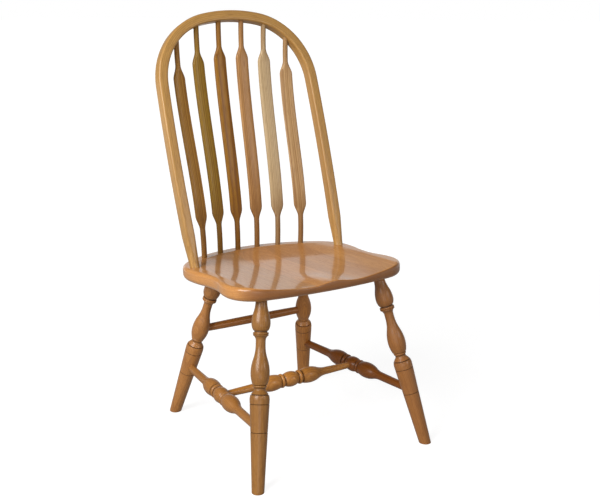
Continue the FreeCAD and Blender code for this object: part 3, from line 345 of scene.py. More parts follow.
@dataclass(frozen=True)
class WoodFinish:
    """One stained and lacquered oak: colours, ring width, sheen and how strong its figure is."""

    name: str
    slot: str
    pale: Colour
    dark: Colour
    stain: Colour = (0.055, 0.022, 0.006)
    ring_width: float = 3.4
    waviness: float = 6.0
    contrast: float = 0.5
    roughness: float = 0.42
    specular: float = 0.3
    coat: float = 0.3
    coat_roughness: float = 0.2
    relief: float = 0.12
    bump_strength: float = 0.5
    end_limits: Point = (0.35, 0.95)
    first_seed: float = 0.0
    seed_step: float = 0.0

    def material(
        self,
        shading: OakShading,
        piece: str,
        pith: Point,
        number: int = 0,
        colour_scale: Colour = (1.0, 1.0, 1.0),
        end_grain: Vector | None = None,
    ) -> bpy.types.Material:
        """Makes the finish for one piece of wood.

        Args:
            shading: The shared shader groups.
            piece: The piece's name.
            pith: Where the middle of the tree lies, across the grain, in millimetres.
            number: Which piece of its kind it is, as each is cut from another part of a tree.
            colour_scale: What the colours are multiplied by: the wood's own tone, as no two boards match,
                and on some legs, stretchers and spindles also painted light, painted shade and painted
                reflection.
            end_grain: The way the grain runs, where cut ends show and soak up more stain.

        Returns:
            The material.
        """
        material = bpy.data.materials.new(f"{self.name}_{piece}")
        material.use_nodes = True
        graph = Graph(material.node_tree)
        pale, dark = (
            (*(part * share for part, share in zip(colour, colour_scale)), 1.0) for colour in (self.pale, self.dark)
        )
        grain = graph.add("ShaderNodeAttribute", attribute_name=Layer.GRAIN.value).outputs["Vector"]
        burn = graph.add("ShaderNodeAttribute", attribute_name=Layer.BURN.value).outputs["Fac"]
        inputs = {
            "Grain": grain,
            "Pith": (pith[0] * MM, pith[1] * MM, 0.0),
            "Seed": self.first_seed + self.seed_step * number,
            "Ring Width": self.ring_width * MM,
            "Waviness": self.waviness * MM,
            "Contrast": self.contrast,
            "Pale": pale,
            "Dark": dark,
        }
        figure = graph.add("ShaderNodeGroup", inputs, node_tree=shading.figure).outputs
        inputs = {
            "Color": figure["Color"],
            "Grain": grain,
            "Burn": burn,
            "Pores": figure["Pores"],
            "Stain": (*self.stain, 1.0),
            "Roughness": self.roughness,
        }
        if end_grain is not None:
            inputs["End Grain"] = self.end_mask(graph, end_grain)
        stain = graph.add("ShaderNodeGroup", inputs, node_tree=shading.stain).outputs
        inputs = {"Strength": self.bump_strength, "Distance": self.relief * MM, "Height": figure["Height"]}
        bump = graph.add("ShaderNodeBump", inputs)
        inputs = {
            "Base Color": stain["Color"],
            "Roughness": stain["Roughness"],
            "Normal": bump.outputs["Normal"],
            "IOR": 1.5,
            "Specular IOR Level": self.specular,
            "Coat Weight": self.coat,
            "Coat Roughness": self.coat_roughness,
        }
        graph.fill(material.node_tree.nodes["Principled BSDF"], inputs)
        return material

    def end_mask(self, graph: Graph, grain_way: Vector) -> Socket:
        """Finds where the wood is cut across its grain.

        Args:
            graph: The material's graph.
            grain_way: The way the grain runs.

        Returns:
            A mask, 1 on a cut end.
        """
        normal = graph.add("ShaderNodeNewGeometry").outputs["Normal"]
        facing = graph.measure("DOT_PRODUCT", normal, tuple(grain_way))
        return graph.ramp(graph.math("ABSOLUTE", facing), *self.end_limits)


SEAT_FINISH = WoodFinish(
    "seat_oak", "seat_wood", (0.55, 0.255, 0.075), (0.36, 0.135, 0.032),
    stain=(0.16, 0.05, 0.009), ring_width=5.5, waviness=16.0, contrast=0.3,
    roughness=0.36, specular=0.2, coat=0.6, coat_roughness=0.1, relief=0.05, seed_step=2.3,
)
LEG_FINISH = WoodFinish(
    "leg_oak", "leg_wood", (0.385, 0.17, 0.044), (0.22, 0.082, 0.018),
    ring_width=3.6, waviness=7.0, contrast=0.4, first_seed=11.0, seed_step=3.1,
)
STRETCHER_FINISH = WoodFinish(
    "stretcher_oak", "stretcher_wood", (0.37, 0.16, 0.038), (0.21, 0.078, 0.016),
    ring_width=3.2, contrast=0.4, first_seed=31.0, seed_step=2.7,
)
BOW_FINISH = WoodFinish(
    "bow_oak", "bow_wood", (0.475, 0.26, 0.072), (0.27, 0.125, 0.027),
    ring_width=3.0, waviness=5.0, contrast=0.45, first_seed=47.0,
)
WEDGE_FINISH = WoodFinish(
    "wedge_oak", "wedge_wood", (0.26, 0.13, 0.045), (0.12, 0.055, 0.018),
    ring_width=2.4, waviness=2.0, roughness=0.5, first_seed=53.0,
)
SPINDLE_FINISH = WoodFinish(
    "spindle_oak", "spindle_wood", (0.50, 0.29, 0.115), (0.28, 0.135, 0.042),
    stain=(0.17, 0.07, 0.014), contrast=0.8, specular=0.2, coat=0.15, first_seed=61.0, seed_step=4.3,
)


# Geometry trees


class ShapeTrees:
    """The geometry node trees that turn, bend and sweep the sticks."""

    crisp_angle = math.radians(42.0)

    def __init__(self) -> None:
        """Builds the three trees once."""
        self.turned = self.build_turned()
        self.bent = self.build_bent()
        self.swept = self.build_swept()

    def start(self, name: str, inputs: Iterable[tuple[str, str, Any]]) -> Graph:
        """Starts a geometry tree.

        Args:
            name: The tree's name.
            inputs: Its own inputs, after the geometry and before the material.

        Returns:
            The tree's graph.
        """
        geometry = ("Geometry", "NodeSocketGeometry")
        sockets = [(*geometry, None), *inputs, ("Material", "NodeSocketMaterial", None)]
        return new_group(name, "GeometryNodeTree", sockets, [geometry])

    def keep_grain(self, graph: Graph, shape: Socket) -> Socket:
        """Notes where each point lies in the straight stick, before it is bent or placed.

        Args:
            graph: The tree's graph.
            shape: The straight stick.

        Returns:
            The stick with the attribute.
        """
        position = graph.first("GeometryNodeInputPosition")
        inputs = {"Geometry": shape, "Name": Layer.GRAIN.value, "Value": position}
        return graph.first("GeometryNodeStoreNamedAttribute", inputs, data_type="FLOAT_VECTOR")

    def finish_tree(self, graph: Graph, shape: Socket) -> Tree:
        """Ends a tree: crisp corners stay crisp, the rest is smooth, and the wood gets its finish.

        Args:
            graph: The tree's graph.
            shape: The finished shape.

        Returns:
            The tree.
        """
        angle = graph.add("GeometryNodeInputMeshEdgeAngle").outputs["Unsigned Angle"]
        inputs = {"A": angle, "B": self.crisp_angle}
        sharp = graph.first("FunctionNodeCompare", inputs, operation="GREATER_THAN")
        inputs = {"Geometry": shape, "Shade Smooth": True}
        smooth = graph.first("GeometryNodeSetShadeSmooth", inputs, domain="FACE")
        inputs = {"Geometry": smooth, "Selection": sharp, "Shade Smooth": False}
        crisp = graph.first("GeometryNodeSetShadeSmooth", inputs, domain="EDGE")
        real = graph.first("GeometryNodeRealizeInstances", {"Geometry": crisp})
        inputs = {"Geometry": real, "Material": graph.source.outputs["Material"]}
        graph.fill(graph.result, {"Geometry": graph.first("GeometryNodeSetMaterial", inputs)})
        return graph.tree

    def build_turned(self) -> Tree:
        """A lathe: a row of points along an axis, each with a radius, becomes a turned stick.

        Returns:
            The tree.
        """
        inputs = [
            ("Facets", "NodeSocketInt", 48),
            ("Place", "NodeSocketVector", None),
            ("Turn", "NodeSocketRotation", None),
        ]
        graph = self.start("turned_stick", inputs)
        source = graph.source.outputs
        line = graph.first("GeometryNodeMeshToCurve", {"Mesh": source["Geometry"]})
        radius = graph.first("GeometryNodeInputNamedAttribute", {"Name": "radius"}, data_type="FLOAT")
        inputs = {"Resolution": source["Facets"], "Radius": 1.0}
        ring = graph.first("GeometryNodeCurvePrimitiveCircle", inputs)
        inputs = {"Curve": line, "Profile Curve": ring, "Scale": radius, "Fill Caps": True}
        noted = self.keep_grain(graph, graph.first("GeometryNodeCurveToMesh", inputs))
        inputs = {"Geometry": noted, "Translation": source["Place"], "Rotation": source["Turn"]}
        return self.finish_tree(graph, graph.first("GeometryNodeTransform", inputs))

    def build_bent(self) -> Tree:
        """A straight slat becomes a spindle: it leans, bends back in an S and turns its flat.

        Returns:
            The tree.
        """
        names = ("Height", "Straight Foot", "Straight Top", "Lean", "Set Back", "Flat Turn")
        inputs = [(name, "NodeSocketFloat", 0.0) for name in names]
        graph = self.start("bent_spindle", [*inputs, ("Foot", "NodeSocketVector", None)])
        source = graph.source.outputs
        noted = self.keep_grain(graph, source["Geometry"])
        position = graph.first("GeometryNodeInputPosition")
        rise = graph.add("ShaderNodeSeparateXYZ", {0: position}).outputs["Z"]
        inputs = {"Vector": position, "Axis": (0.0, 0.0, 1.0), "Angle": source["Flat Turn"]}
        turned = graph.first("ShaderNodeVectorRotate", inputs)
        bent_end = graph.math("SUBTRACT", source["Height"], source["Straight Top"])
        share = graph.ramp(rise, source["Straight Foot"], bent_end)
        inputs = {
            "X": graph.math("MULTIPLY", rise, source["Lean"]),
            "Y": graph.math("MULTIPLY", share, source["Set Back"]),
        }
        shifted = graph.vector("ADD", turned, graph.first("ShaderNodeCombineXYZ", inputs))
        inputs = {"Geometry": noted, "Position": graph.vector("ADD", shifted, source["Foot"])}
        return self.finish_tree(graph, graph.first("GeometryNodeSetPosition", inputs))

    def build_swept(self) -> Tree:
        """A straight bar follows a path that lies in one plane.

        Returns:
            The tree.
        """
        inputs = [("Path", "NodeSocketObject", None), ("Backwards", "NodeSocketVector", None)]
        graph = self.start("swept_bar", inputs)
        source = graph.source.outputs
        noted = self.keep_grain(graph, source["Geometry"])
        path = graph.add("GeometryNodeObjectInfo", {"Object": source["Path"]}, transform_space="RELATIVE")
        line = graph.first("GeometryNodeMeshToCurve", {"Mesh": path.outputs["Geometry"]})
        parts = graph.add("ShaderNodeSeparateXYZ", {0: graph.first("GeometryNodeInputPosition")}).outputs
        sample = graph.add("GeometryNodeSampleCurve", {0: line}, mode="LENGTH", data_type="FLOAT")
        for socket in sample.inputs:
            if socket.name == "Length":
                graph.feed(socket, parts["Z"])
        outward = graph.vector("CROSS_PRODUCT", sample.outputs["Tangent"], source["Backwards"])
        across = graph.scale(outward, parts["X"])
        through = graph.scale(source["Backwards"], parts["Y"])
        placed = graph.vector("ADD", sample.outputs["Position"], graph.vector("ADD", across, through))
        inputs = {"Geometry": noted, "Position": placed}
        return self.finish_tree(graph, graph.first("GeometryNodeSetPosition", inputs))


# Shared ways to measure and to make


def limited(share: float) -> float:
    """A share kept between 0 and 1."""
    return min(max(share, 0.0), 1.0)


def eased(share: float) -> float:
    """A share between 0 and 1 that starts and ends gently."""
    share = limited(share)
    return share * share * (3.0 - 2.0 * share)


def between(first: Point, second: Point, share: float) -> Point:
    """The point part of the way from one point to another."""
    return first[0] + (second[0] - first[0]) * share, first[1] + (second[1] - first[1]) * share


def inwards(points: Section, ways: Section, inset: float) -> Section:
    """Points of an outline, each moved by an inset along its own way inwards."""
    return [(x + way_x * inset, y + way_y * inset) for (x, y), (way_x, way_y) in zip(points, ways)]


def arc(hub: Point | Vector, radius: float, start: float, end: float, steps: int) -> Section:
    """Points of an arc.

    Args:
        hub: Its centre.
        radius: Its radius.
        start: The angle of its first point.
        end: The angle of its last point.
        steps: The steps between them.

    Returns:
        The points, one more than the steps.
    """
    turns = [start + (end - start) * step / steps for step in range(steps + 1)]
    return [(hub[0] + math.cos(turn) * radius, hub[1] + math.sin(turn) * radius) for turn in turns]


def distances(points: Iterable[Any]) -> list[float]:
    """How far along a line each of its points lies.

    Args:
        points: The line's points.

    Returns:
        The distances, from 0.
    """
    points = list(points)
    lengths = [0.0]
    for first, second in zip(points, points[1:]):
        lengths.append(lengths[-1] + math.dist(first, second))
    return lengths


def new_object(name: str, mesh: Mesh) -> Piece:
    """Puts a mesh into the scene.

    Args:
        name: The object's name.
        mesh: Its mesh.

    Returns:
        The object, at the origin.
    """
    item = bpy.data.objects.new(name, mesh)
    bpy.context.scene.collection.objects.link(item)
    return item


def run_tree(name: str, mesh: Mesh, tree: Tree, values: dict[str, Any]) -> Piece:
    """Shapes a mesh with a geometry tree and keeps the result as a plain mesh.

    Args:
        name: The piece's name.
        mesh: What the tree starts from.
        tree: The tree.
        values: Its inputs by name.

    Returns:
        The piece, without any modifier.
    """
    rough = new_object(name + "_rough", mesh)
    modifier = rough.modifiers.new("shape", "NODES")
    modifier.node_group = tree
    for item in tree.interface.items_tree:
        if item.item_type == "SOCKET" and item.in_out == "INPUT" and item.name in values:
            modifier[item.identifier] = values[item.name]
    bpy.context.view_layer.update()
    graph = bpy.context.evaluated_depsgraph_get()
    shaped = bpy.data.meshes.new_from_object(
        rough.evaluated_get(graph), preserve_all_data_layers=True, depsgraph=graph
    )
    shaped.name = name
    bpy.data.objects.remove(rough)
    work = bmesh.new()
    work.from_mesh(shaped)
    keep(work, shaped)
    return new_object(name, shaped)


def keep(work: Work, mesh: Mesh) -> None:
    """Turns the faces of closed wood outwards and writes it to a mesh.

    Args:
        work: The wood, which is freed.
        mesh: The mesh.
    """
    bmesh.ops.recalc_face_normals(work, faces=work.faces)
    work.to_mesh(mesh)
    work.free()


def cut_off(work: Work, point: Vector, outward: Vector, near: float) -> list[bmesh.types.BMEdge]:
    """Cuts off what lies past a plane and closes the cut.

    Args:
        work: The wood.
        point: A point of the plane.
        outward: The side that is taken away.
        near: How near to the plane counts as on it.

    Returns:
        The edges round the cut.
    """
    wood = [*work.verts, *work.edges, *work.faces]
    bmesh.ops.bisect_plane(work, geom=wood, dist=near, plane_co=point, plane_no=outward, clear_outer=True)
    rim = [edge for edge in work.edges if edge.is_boundary]
    for face in bmesh.ops.holes_fill(work, edges=rim, sides=0)["faces"]:
        face.smooth = False
    for edge in rim:
        edge.smooth = False
    return rim


def saw(mesh: Mesh, point: Vector, outward: Vector, ease: float = 0.0) -> None:
    """Saws off what lies past a plane and eases the edge of the cut.

    Args:
        mesh: The mesh, in metres.
        point: A point of the plane.
        outward: The side that is taken away.
        ease: The width of the eased edge in metres.
    """
    work = bmesh.new()
    work.from_mesh(mesh)
    rim = cut_off(work, point, outward, 1e-7)
    if ease > 0.0:
        for edge in rim:
            edge.smooth = True
        bmesh.ops.bevel(
            work, geom=rim, offset=ease, segments=3, profile=0.5, affect="EDGES", clamp_overlap=True
        )
    keep(work, mesh)


def skin(work: Work, loops: list[list[bmesh.types.BMVert]], smooth: bool = True) -> None:
    """Stretches faces between rings that have the same number of corners.

    Args:
        work: The wood.
        loops: The rings in order.
        smooth: Whether the faces are shaded smooth.
    """
    for low, high in zip(loops, loops[1:]):
        for step in range(len(low)):
            after = (step + 1) % len(low)
            work.faces.new((low[step], low[after], high[after], high[step])).smooth = smooth


def tube(name: str, rings: list[list[Vector]], burn: list[float] | None = None) -> Mesh:
    """Joins rings of points into a closed bar with flat ends.

    Args:
        name: The mesh's name.
        rings: Rings with the same number of points, in millimetres.
        burn: How dark each ring is, if any is.

    Returns:
        The mesh, in metres.
    """
    work = bmesh.new()
    layer = work.verts.layers.float.new(Layer.BURN.value)
    loops = [[work.verts.new(point * MM) for point in ring] for ring in rings]
    for loop, dark in zip(loops, burn or []):
        for vert in loop:
            vert[layer] = dark
    skin(work, loops, False)
    for end in (loops[0], loops[-1]):
        work.faces.new(end)
    mesh = bpy.data.meshes.new(name)
    keep(work, mesh)
    return mesh


def wear_piece(piece: Piece, node: str) -> None:
    """Hands a finished piece over to the frame.

    Args:
        piece: The piece.
        node: The part of the chair that it stands for.
    """
    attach(piece, "root")
    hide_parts(node)
    LOG.info("%s: %d faces", piece.name, len(piece.data.polygons))


# Turning


@dataclass
class Turning:
    """The outline of a turned stick, built up along its axis in millimetres."""

    along: float = 0.0
    radius: float = 0.0
    stations: list[tuple[float, float, float]] = field(default_factory=list)
    bead_edge_burn: float = 0.35
    score_edge_burn: float = 0.6
    slant: float = 0.1

    def put(self, along: float, radius: float, burn: float = 0.0) -> None:
        """Adds one station: where it is, how thick the wood is there, and how dark it is burnt."""
        self.stations.append((along, radius, burn))
        self.along, self.radius = along, radius

    def line(self, radius: float, run: float = 0.0, burn: float = 0.0, steps: int = 1) -> None:
        """Cuts straight to another radius.

        Args:
            radius: The radius at the end.
            run: How far along the axis.
            burn: How dark the end is.
            steps: The number of stations.
        """
        start = (self.along, self.radius)
        for step in range(1, steps + 1):
            self.put(*between(start, (start[0] + run, radius), step / steps), burn)

    def quarter(self, radius: float, run: float, upright_first: bool, steps: int = 9) -> None:
        """Cuts an arc that runs along the axis at one of its ends.

        Args:
            radius: The radius at the end.
            run: How far along the axis.
            upright_first: Whether the arc runs along the axis at its start.
            steps: The number of stations.
        """
        start, end = (self.along, self.radius), (self.along + run, radius)
        level, other = (start, end) if upright_first else (end, start)
        across = other[1] - level[1]
        hub = (across * across + run * run) / (2.0 * abs(across))
        full = math.atan2(run, hub - abs(across))
        way = math.copysign(1.0, across)
        onward = math.copysign(1.0, other[0] - level[0])
        for step in range(1, steps + 1):
            share = step / steps if upright_first else 1.0 - step / steps
            turn = full * share
            self.put(level[0] + onward * hub * math.sin(turn), level[1] + way * hub * (1.0 - math.cos(turn)))

    def sway(self, radius: float, run: float, steps: int = 8) -> None:
        """Cuts two equal arcs that run along the axis at both outer ends.

        Args:
            radius: The radius at the end.
            run: How far along the axis.
            steps: The stations of each arc.
        """
        self.quarter((self.radius + radius) / 2.0, run / 2.0, True, steps)
        self.quarter(radius, run / 2.0, False, steps)

    def bead(self, width: float, rise: float, steps: int = 8) -> None:
        """Cuts a rounded ring.

        Args:
            width: Its width along the axis.
            rise: How far it stands out.
            steps: The number of stations.
        """
        hub = (rise * rise + width * width / 4.0) / (2.0 * rise)
        half = math.asin(min(width / (2.0 * hub), 1.0))
        middle, base = self.along + width / 2.0, self.radius + rise - hub
        for step in range(1, steps + 1):
            turn = -half + 2.0 * half * step / steps
            burn = self.bead_edge_burn if step == steps else 0.0
            self.put(middle + hub * math.sin(turn), base + hub * math.cos(turn), burn)

    def score(self, half_width: float, depth: float) -> None:
        """Burns a scored line.

        Args:
            half_width: Half its width.
            depth: How deep it is cut.
        """
        radius, flank = self.radius, half_width - self.slant
        self.put(self.along + self.slant, radius, self.score_edge_burn)
        self.put(self.along + flank, radius - depth, 1.0)
        self.put(self.along + flank, radius, self.score_edge_burn)
        self.put(self.along + self.slant, radius, 0.0)

    def mesh(self, name: str, way: float = 1.0, both: bool = False) -> Mesh:
        """The outline as a row of points for the lathe.

        Args:
            name: The mesh's name.
            way: 1 where the outline runs up the axis, -1 where it runs down.
            both: Whether the same outline runs the other way too.

        Returns:
            The row, with its radii and burnt places.
        """
        rows = [(way * along, radius, burn) for along, radius, burn in self.stations]
        if both:
            rows = [(-along, radius, burn) for along, radius, burn in reversed(rows[1:])] + rows
        onward = math.copysign(0.02, rows[-1][0] - rows[0][0])
        kept = [rows[0]]
        for row in rows[1:]:
            if abs(row[0] - kept[-1][0]) < 1e-3:
                row = (kept[-1][0] + onward, row[1], row[2])
            kept.append(row)
        mesh = bpy.data.meshes.new(name)
        edges = [(number, number + 1) for number in range(len(kept) - 1)]
        mesh.from_pydata([(0.0, 0.0, row[0] * MM) for row in kept], edges, [])
        layers = {"radius": [row[1] * MM for row in kept], Layer.BURN.value: [row[2] for row in kept]}
        for label, values in layers.items():
            mesh.attributes.new(label, "FLOAT", "POINT").data.foreach_set("value", values)
        return mesh


@dataclass(frozen=True)
class Axis:
    """The straight line that a stick is turned round, in millimetres."""

    foot: Vector
    top: Vector

    @property
    def way(self) -> Vector:
        """The direction from the foot to the top."""
        return (self.top - self.foot).normalized()

    @property
    def middle(self) -> Vector:
        """The point halfway between the foot and the top."""
        return (self.foot + self.top) / 2.0

    @property
    def length(self) -> float:
        """The distance from the foot to the top."""
        return (self.top - self.foot).length

    def at_height(self, height: float) -> Vector:
        """The point of the axis at a height above the floor."""
        return self.foot + self.way * (height / self.way.z)

    def turn(self) -> Euler:
        """The rotation that lays a stick's own Z along the axis."""
        return Vector((0.0, 0.0, 1.0)).rotation_difference(self.way).to_euler()


# Seat


@dataclass
class Seat:
    """The saddled plank seat, glued up from five boards whose grain runs front to back."""

    height: float = 451.0
    slope: float = 2.9
    thickness: float = 33.0
    front: float = 221.8
    back: float = 214.8
    front_half: float = 238.3
    front_widest: float = 128.8
    waist_half: float = 226.5
    waist_at: float = 45.0
    rear_half: float = 237.0
    rear_widest: float = 62.7
    front_arc: float = 970.0
    back_arc: float = 319.5
    top_round: float = 9.0
    bottom_round: float = 13.0
    line_back: float = 187.8
    line_arc: float = 318.0
    crease_ahead: float = 12.5
    crease_step: float = 1.0
    crease_ease: float = 1.5
    scoop_depth: float = 16.5
    scoop_half_width: float = 205.0
    scoop_run: float = 110.0
    pommel_height: float = 9.5
    pommel_width: float = 42.0
    pommel_length: float = 166.0
    eased_edge: float = 3.0
    edge_blend: float = 1.6
    joints: tuple[float, ...] = (-146.0, -51.0, 42.0, 139.0)
    piths: tuple[Point, ...] = ((-205.0, -70.0), (-88.0, 45.0), (8.0, -95.0), (104.0, 60.0), (170.0, -85.0))
    colour_scales: tuple[Colour, ...] = (
        (1.0, 1.0, 1.0), (0.93, 0.95, 0.98), (1.05, 1.03, 1.0), (0.95, 0.94, 0.93), (1.03, 1.04, 1.04),
    )
    rim_points: int = 440
    edge_steps: int = 60
    waist_steps: int = 20
    top_hub: Point = (0.0, -6.0)
    outer_rings: int = 35
    outer_step: float = 0.0105
    inner_rings: int = 20
    near_rim: tuple[float, ...] = (10.6, 12.4, 14.6)
    far_inside: float = 99.0
    under_shares: tuple[float, ...] = (0.94, 0.8, 0.6, 0.4, 0.2)

    @property
    def place(self) -> Matrix:
        """The seat's own frame in millimetres: X across, Y back, Z up from its flat top."""
        middle = self.height - math.tan(math.radians(self.slope)) * self.front
        return Matrix.Translation((0.0, 0.0, middle)) @ Matrix.Rotation(math.radians(-self.slope), 4, "X")

    def on_top(self, x: float, y: float, depth: float = 0.0) -> Vector:
        """A point of the blank, across, back and below its top, in millimetres."""
        return self.place @ Vector((x, y, -depth))

    def corner(self, centre_y: float, radius: float, side: Point) -> Section:
        """The round of a corner between a side and the front or back edge.

        Args:
            centre_y: Where the edge's centre lies.
            radius: The edge's radius.
            side: Where the corner leaves the side.

        Returns:
            Points from the edge to the side.
        """
        along, across = side[1] - centre_y, side[0]
        small = (radius**2 - across**2 - along**2) / (2.0 * (radius - across))
        hub = (side[0] - small, side[1])
        return arc(hub, small, math.atan2(hub[1] - centre_y, hub[0]), 0.0, self.edge_steps)

    def outline(self) -> Section:
        """The right half of the blank, seen from above, from the front middle to the back middle.

        Returns:
            Points close together.
        """
        front_centre = -self.front + self.front_arc
        back_centre = self.back - self.back_arc
        front_corner = self.corner(front_centre, self.front_arc, (self.front_half, -self.front_widest))
        rear_corner = self.corner(back_centre, self.back_arc, (self.rear_half, self.rear_widest))
        steps = range(self.edge_steps)
        across = [front_corner[0][0] * step / self.edge_steps for step in steps]
        points = [(x, front_centre - math.sqrt(self.front_arc**2 - x**2)) for x in across]
        points += front_corner
        side = Turning(-self.front_widest, self.front_half)
        side.sway(self.waist_half, self.front_widest - self.waist_at, self.waist_steps)
        side.sway(self.rear_half, self.waist_at + self.rear_widest, self.waist_steps)
        points += [(radius, along) for along, radius, _ in side.stations[:-1]]
        points += reversed(rear_corner)
        across = [rear_corner[0][0] * step / self.edge_steps for step in reversed(steps)]
        points += [(x, back_centre + math.sqrt(self.back_arc**2 - x**2)) for x in across]
        return points

    def rim(self) -> tuple[Section, Section]:
        """The whole edge of the blank at even steps.

        Returns:
            The points, and the way inwards at each.
        """
        half = self.outline()
        loop = half + [(-x, y) for x, y in reversed(half[1:-1])]
        closed = loop + loop[:1]
        lengths = distances(closed)
        points: Section = []
        spot = 0
        for step in range(self.rim_points):
            target = lengths[-1] * step / self.rim_points
            while lengths[spot + 1] < target:
                spot += 1
            share = (target - lengths[spot]) / max(lengths[spot + 1] - lengths[spot], 1e-9)
            points.append(between(closed[spot], closed[spot + 1], share))
        ways: Section = []
        for step in range(self.rim_points):
            (x0, y0), (x1, y1) = points[step - 2], points[(step + 2) % self.rim_points]
            size = math.hypot(x1 - x0, y1 - y0)
            ways.append((-(y1 - y0) / size, (x1 - x0) / size))
        return points, ways

    def scoop(self, x: float, y: float) -> float:
        """How deep the saddle is at a point, in millimetres.

        Args:
            x: The place across.
            y: The place front to back.

        Returns:
            The depth below the flat top.
        """
        crease = self.line_arc - self.crease_ahead
        inside = crease - math.hypot(x, y - self.line_back + self.line_arc)
        if inside <= -self.crease_ease:
            return 0.0
        side = 1.0 - (x / self.scoop_half_width) ** 2
        run = math.sin(limited(inside / self.scoop_run) * QUARTER_TURN)
        depth = (self.crease_step + (self.scoop_depth - self.crease_step) * run) * side
        ahead = (self.pommel_length - self.front - y) / self.pommel_length
        ridge = math.exp(-((x / self.pommel_width) ** 2))
        depth -= self.pommel_height * ridge * eased(ahead)
        return max(depth, 0.0) * eased((inside + self.crease_ease) / (2.0 * self.crease_ease))

    def drop(self, x: float, y: float, inset: float) -> float:
        """How far the finished top lies below the flat blank.

        Args:
            x: The place across.
            y: The place front to back.
            inset: How far inside the rim.

        Returns:
            The drop in millimetres.
        """
        rounded = arc_drop(self.top_round, inset)
        carved = self.scoop(x, y) + arc_drop(self.eased_edge, inset)
        return soft_max(rounded, carved, self.edge_blend)

    def blank(self) -> Work:
        """The whole seat as one closed shape in its own frame.

        Returns:
            The shape, in millimetres.
        """
        rim, ways = self.rim()
        turns = [math.radians(turn) for turn in range(0, 91, 9)]
        top: list[list[Vector]] = []
        for inset in [*(self.top_round * (1.0 - math.cos(turn)) for turn in turns), *self.near_rim]:
            row = inwards(rim, ways, inset)
            top.append([Vector((x, y, -self.drop(x, y, inset))) for x, y in row])
        inner = [(point.x, point.y) for point in top[-1]]
        shares = [1.0 - self.outer_step * step for step in range(1, self.outer_rings + 1)]
        shares += [shares[-1] * (1.0 - step / self.inner_rings) for step in range(1, self.inner_rings)]
        for share in shares:
            row = [between(self.top_hub, point, share) for point in inner]
            top.append([Vector((x, y, -self.drop(x, y, self.far_inside))) for x, y in row])
        floor = self.bottom_round - self.thickness
        wall = [
            [Vector((x, y, high.z + (floor - high.z) * share)) for (x, y), high in zip(rim, top[0])]
            for share in (0.5, 1.0)
        ]
        for turn in turns[1:]:
            row = inwards(rim, ways, self.bottom_round * (1.0 - math.cos(turn)))
            low = floor - self.bottom_round * math.sin(turn)
            wall.append([Vector((x, y, low)) for x, y in row])
        for share in self.under_shares:
            wall.append([Vector((x * share, y * share, -self.thickness)) for x, y in row])
        work = bmesh.new()
        loops = [[work.verts.new(point) for point in row] for row in [*reversed(wall), *top]]
        skin(work, loops)
        hub_drop = self.drop(*self.top_hub, self.far_inside)
        for loop, spot in ((loops[0], (0.0, 0.0, -self.thickness)), (loops[-1], (*self.top_hub, -hub_drop))):
            hub = work.verts.new(spot)
            for first, second in zip(loop, loop[1:] + loop[:1]):
                work.faces.new((first, second, hub)).smooth = True
        bmesh.ops.recalc_face_normals(work, faces=work.faces)
        return work

    def build(self, shading: OakShading) -> None:
        """Parts the seat into its boards and dresses each in its own grain.

        Args:
            shading: The shared shader groups.
        """
        blank = self.blank()
        edges = (None, *self.joints, None)
        grain_way = self.place.to_3x3() @ Vector((0.0, 1.0, 0.0))
        for number, (pith, colour_scale) in enumerate(zip(self.piths, self.colour_scales)):
            board = blank.copy()
            for joint, outward in ((edges[number], -1.0), (edges[number + 1], 1.0)):
                if joint is not None:
                    cut_off(board, Vector((joint, 0.0, 0.0)), Vector((outward, 0.0, 0.0)), 1e-5)
            layer = board.verts.layers.float_vector.new(Layer.GRAIN.value)
            board.verts.layers.float.new(Layer.BURN.value)
            for vert in board.verts:
                vert[layer] = Vector((vert.co.x, vert.co.z, vert.co.y)) * MM
            name = f"seat_board_{number + 1}"
            mesh = bpy.data.meshes.new(name)
            keep(board, mesh)
            mesh.transform(Matrix.Scale(MM, 4) @ self.place)
            mesh.materials.append(SEAT_FINISH.material(shading, name, pith, number, colour_scale, grain_way))
            wear_piece(new_object("saddled_" + name, mesh), name)
        blank.free()


def arc_drop(radius: float, inset: float) -> float:
    """How far a rounded edge of a radius lies below the flat, at an inset from the rim."""
    return 0.0 if inset >= radius else radius - math.sqrt(radius**2 - (radius - inset) ** 2)


def soft_max(first: float, second: float, width: float) -> float:
    """The larger of two values, eased over a width where they meet.

    Args:
        first: One value.
        second: The other value.
        width: How near to each other they are eased.

    Returns:
        The eased value.
    """
    share = max(width - abs(first - second), 0.0) / width
    lift = share * share * width / 4.0 if min(first, second) > 0.0 else 0.0
    return max(first, second) + lift


# Legs and stretchers


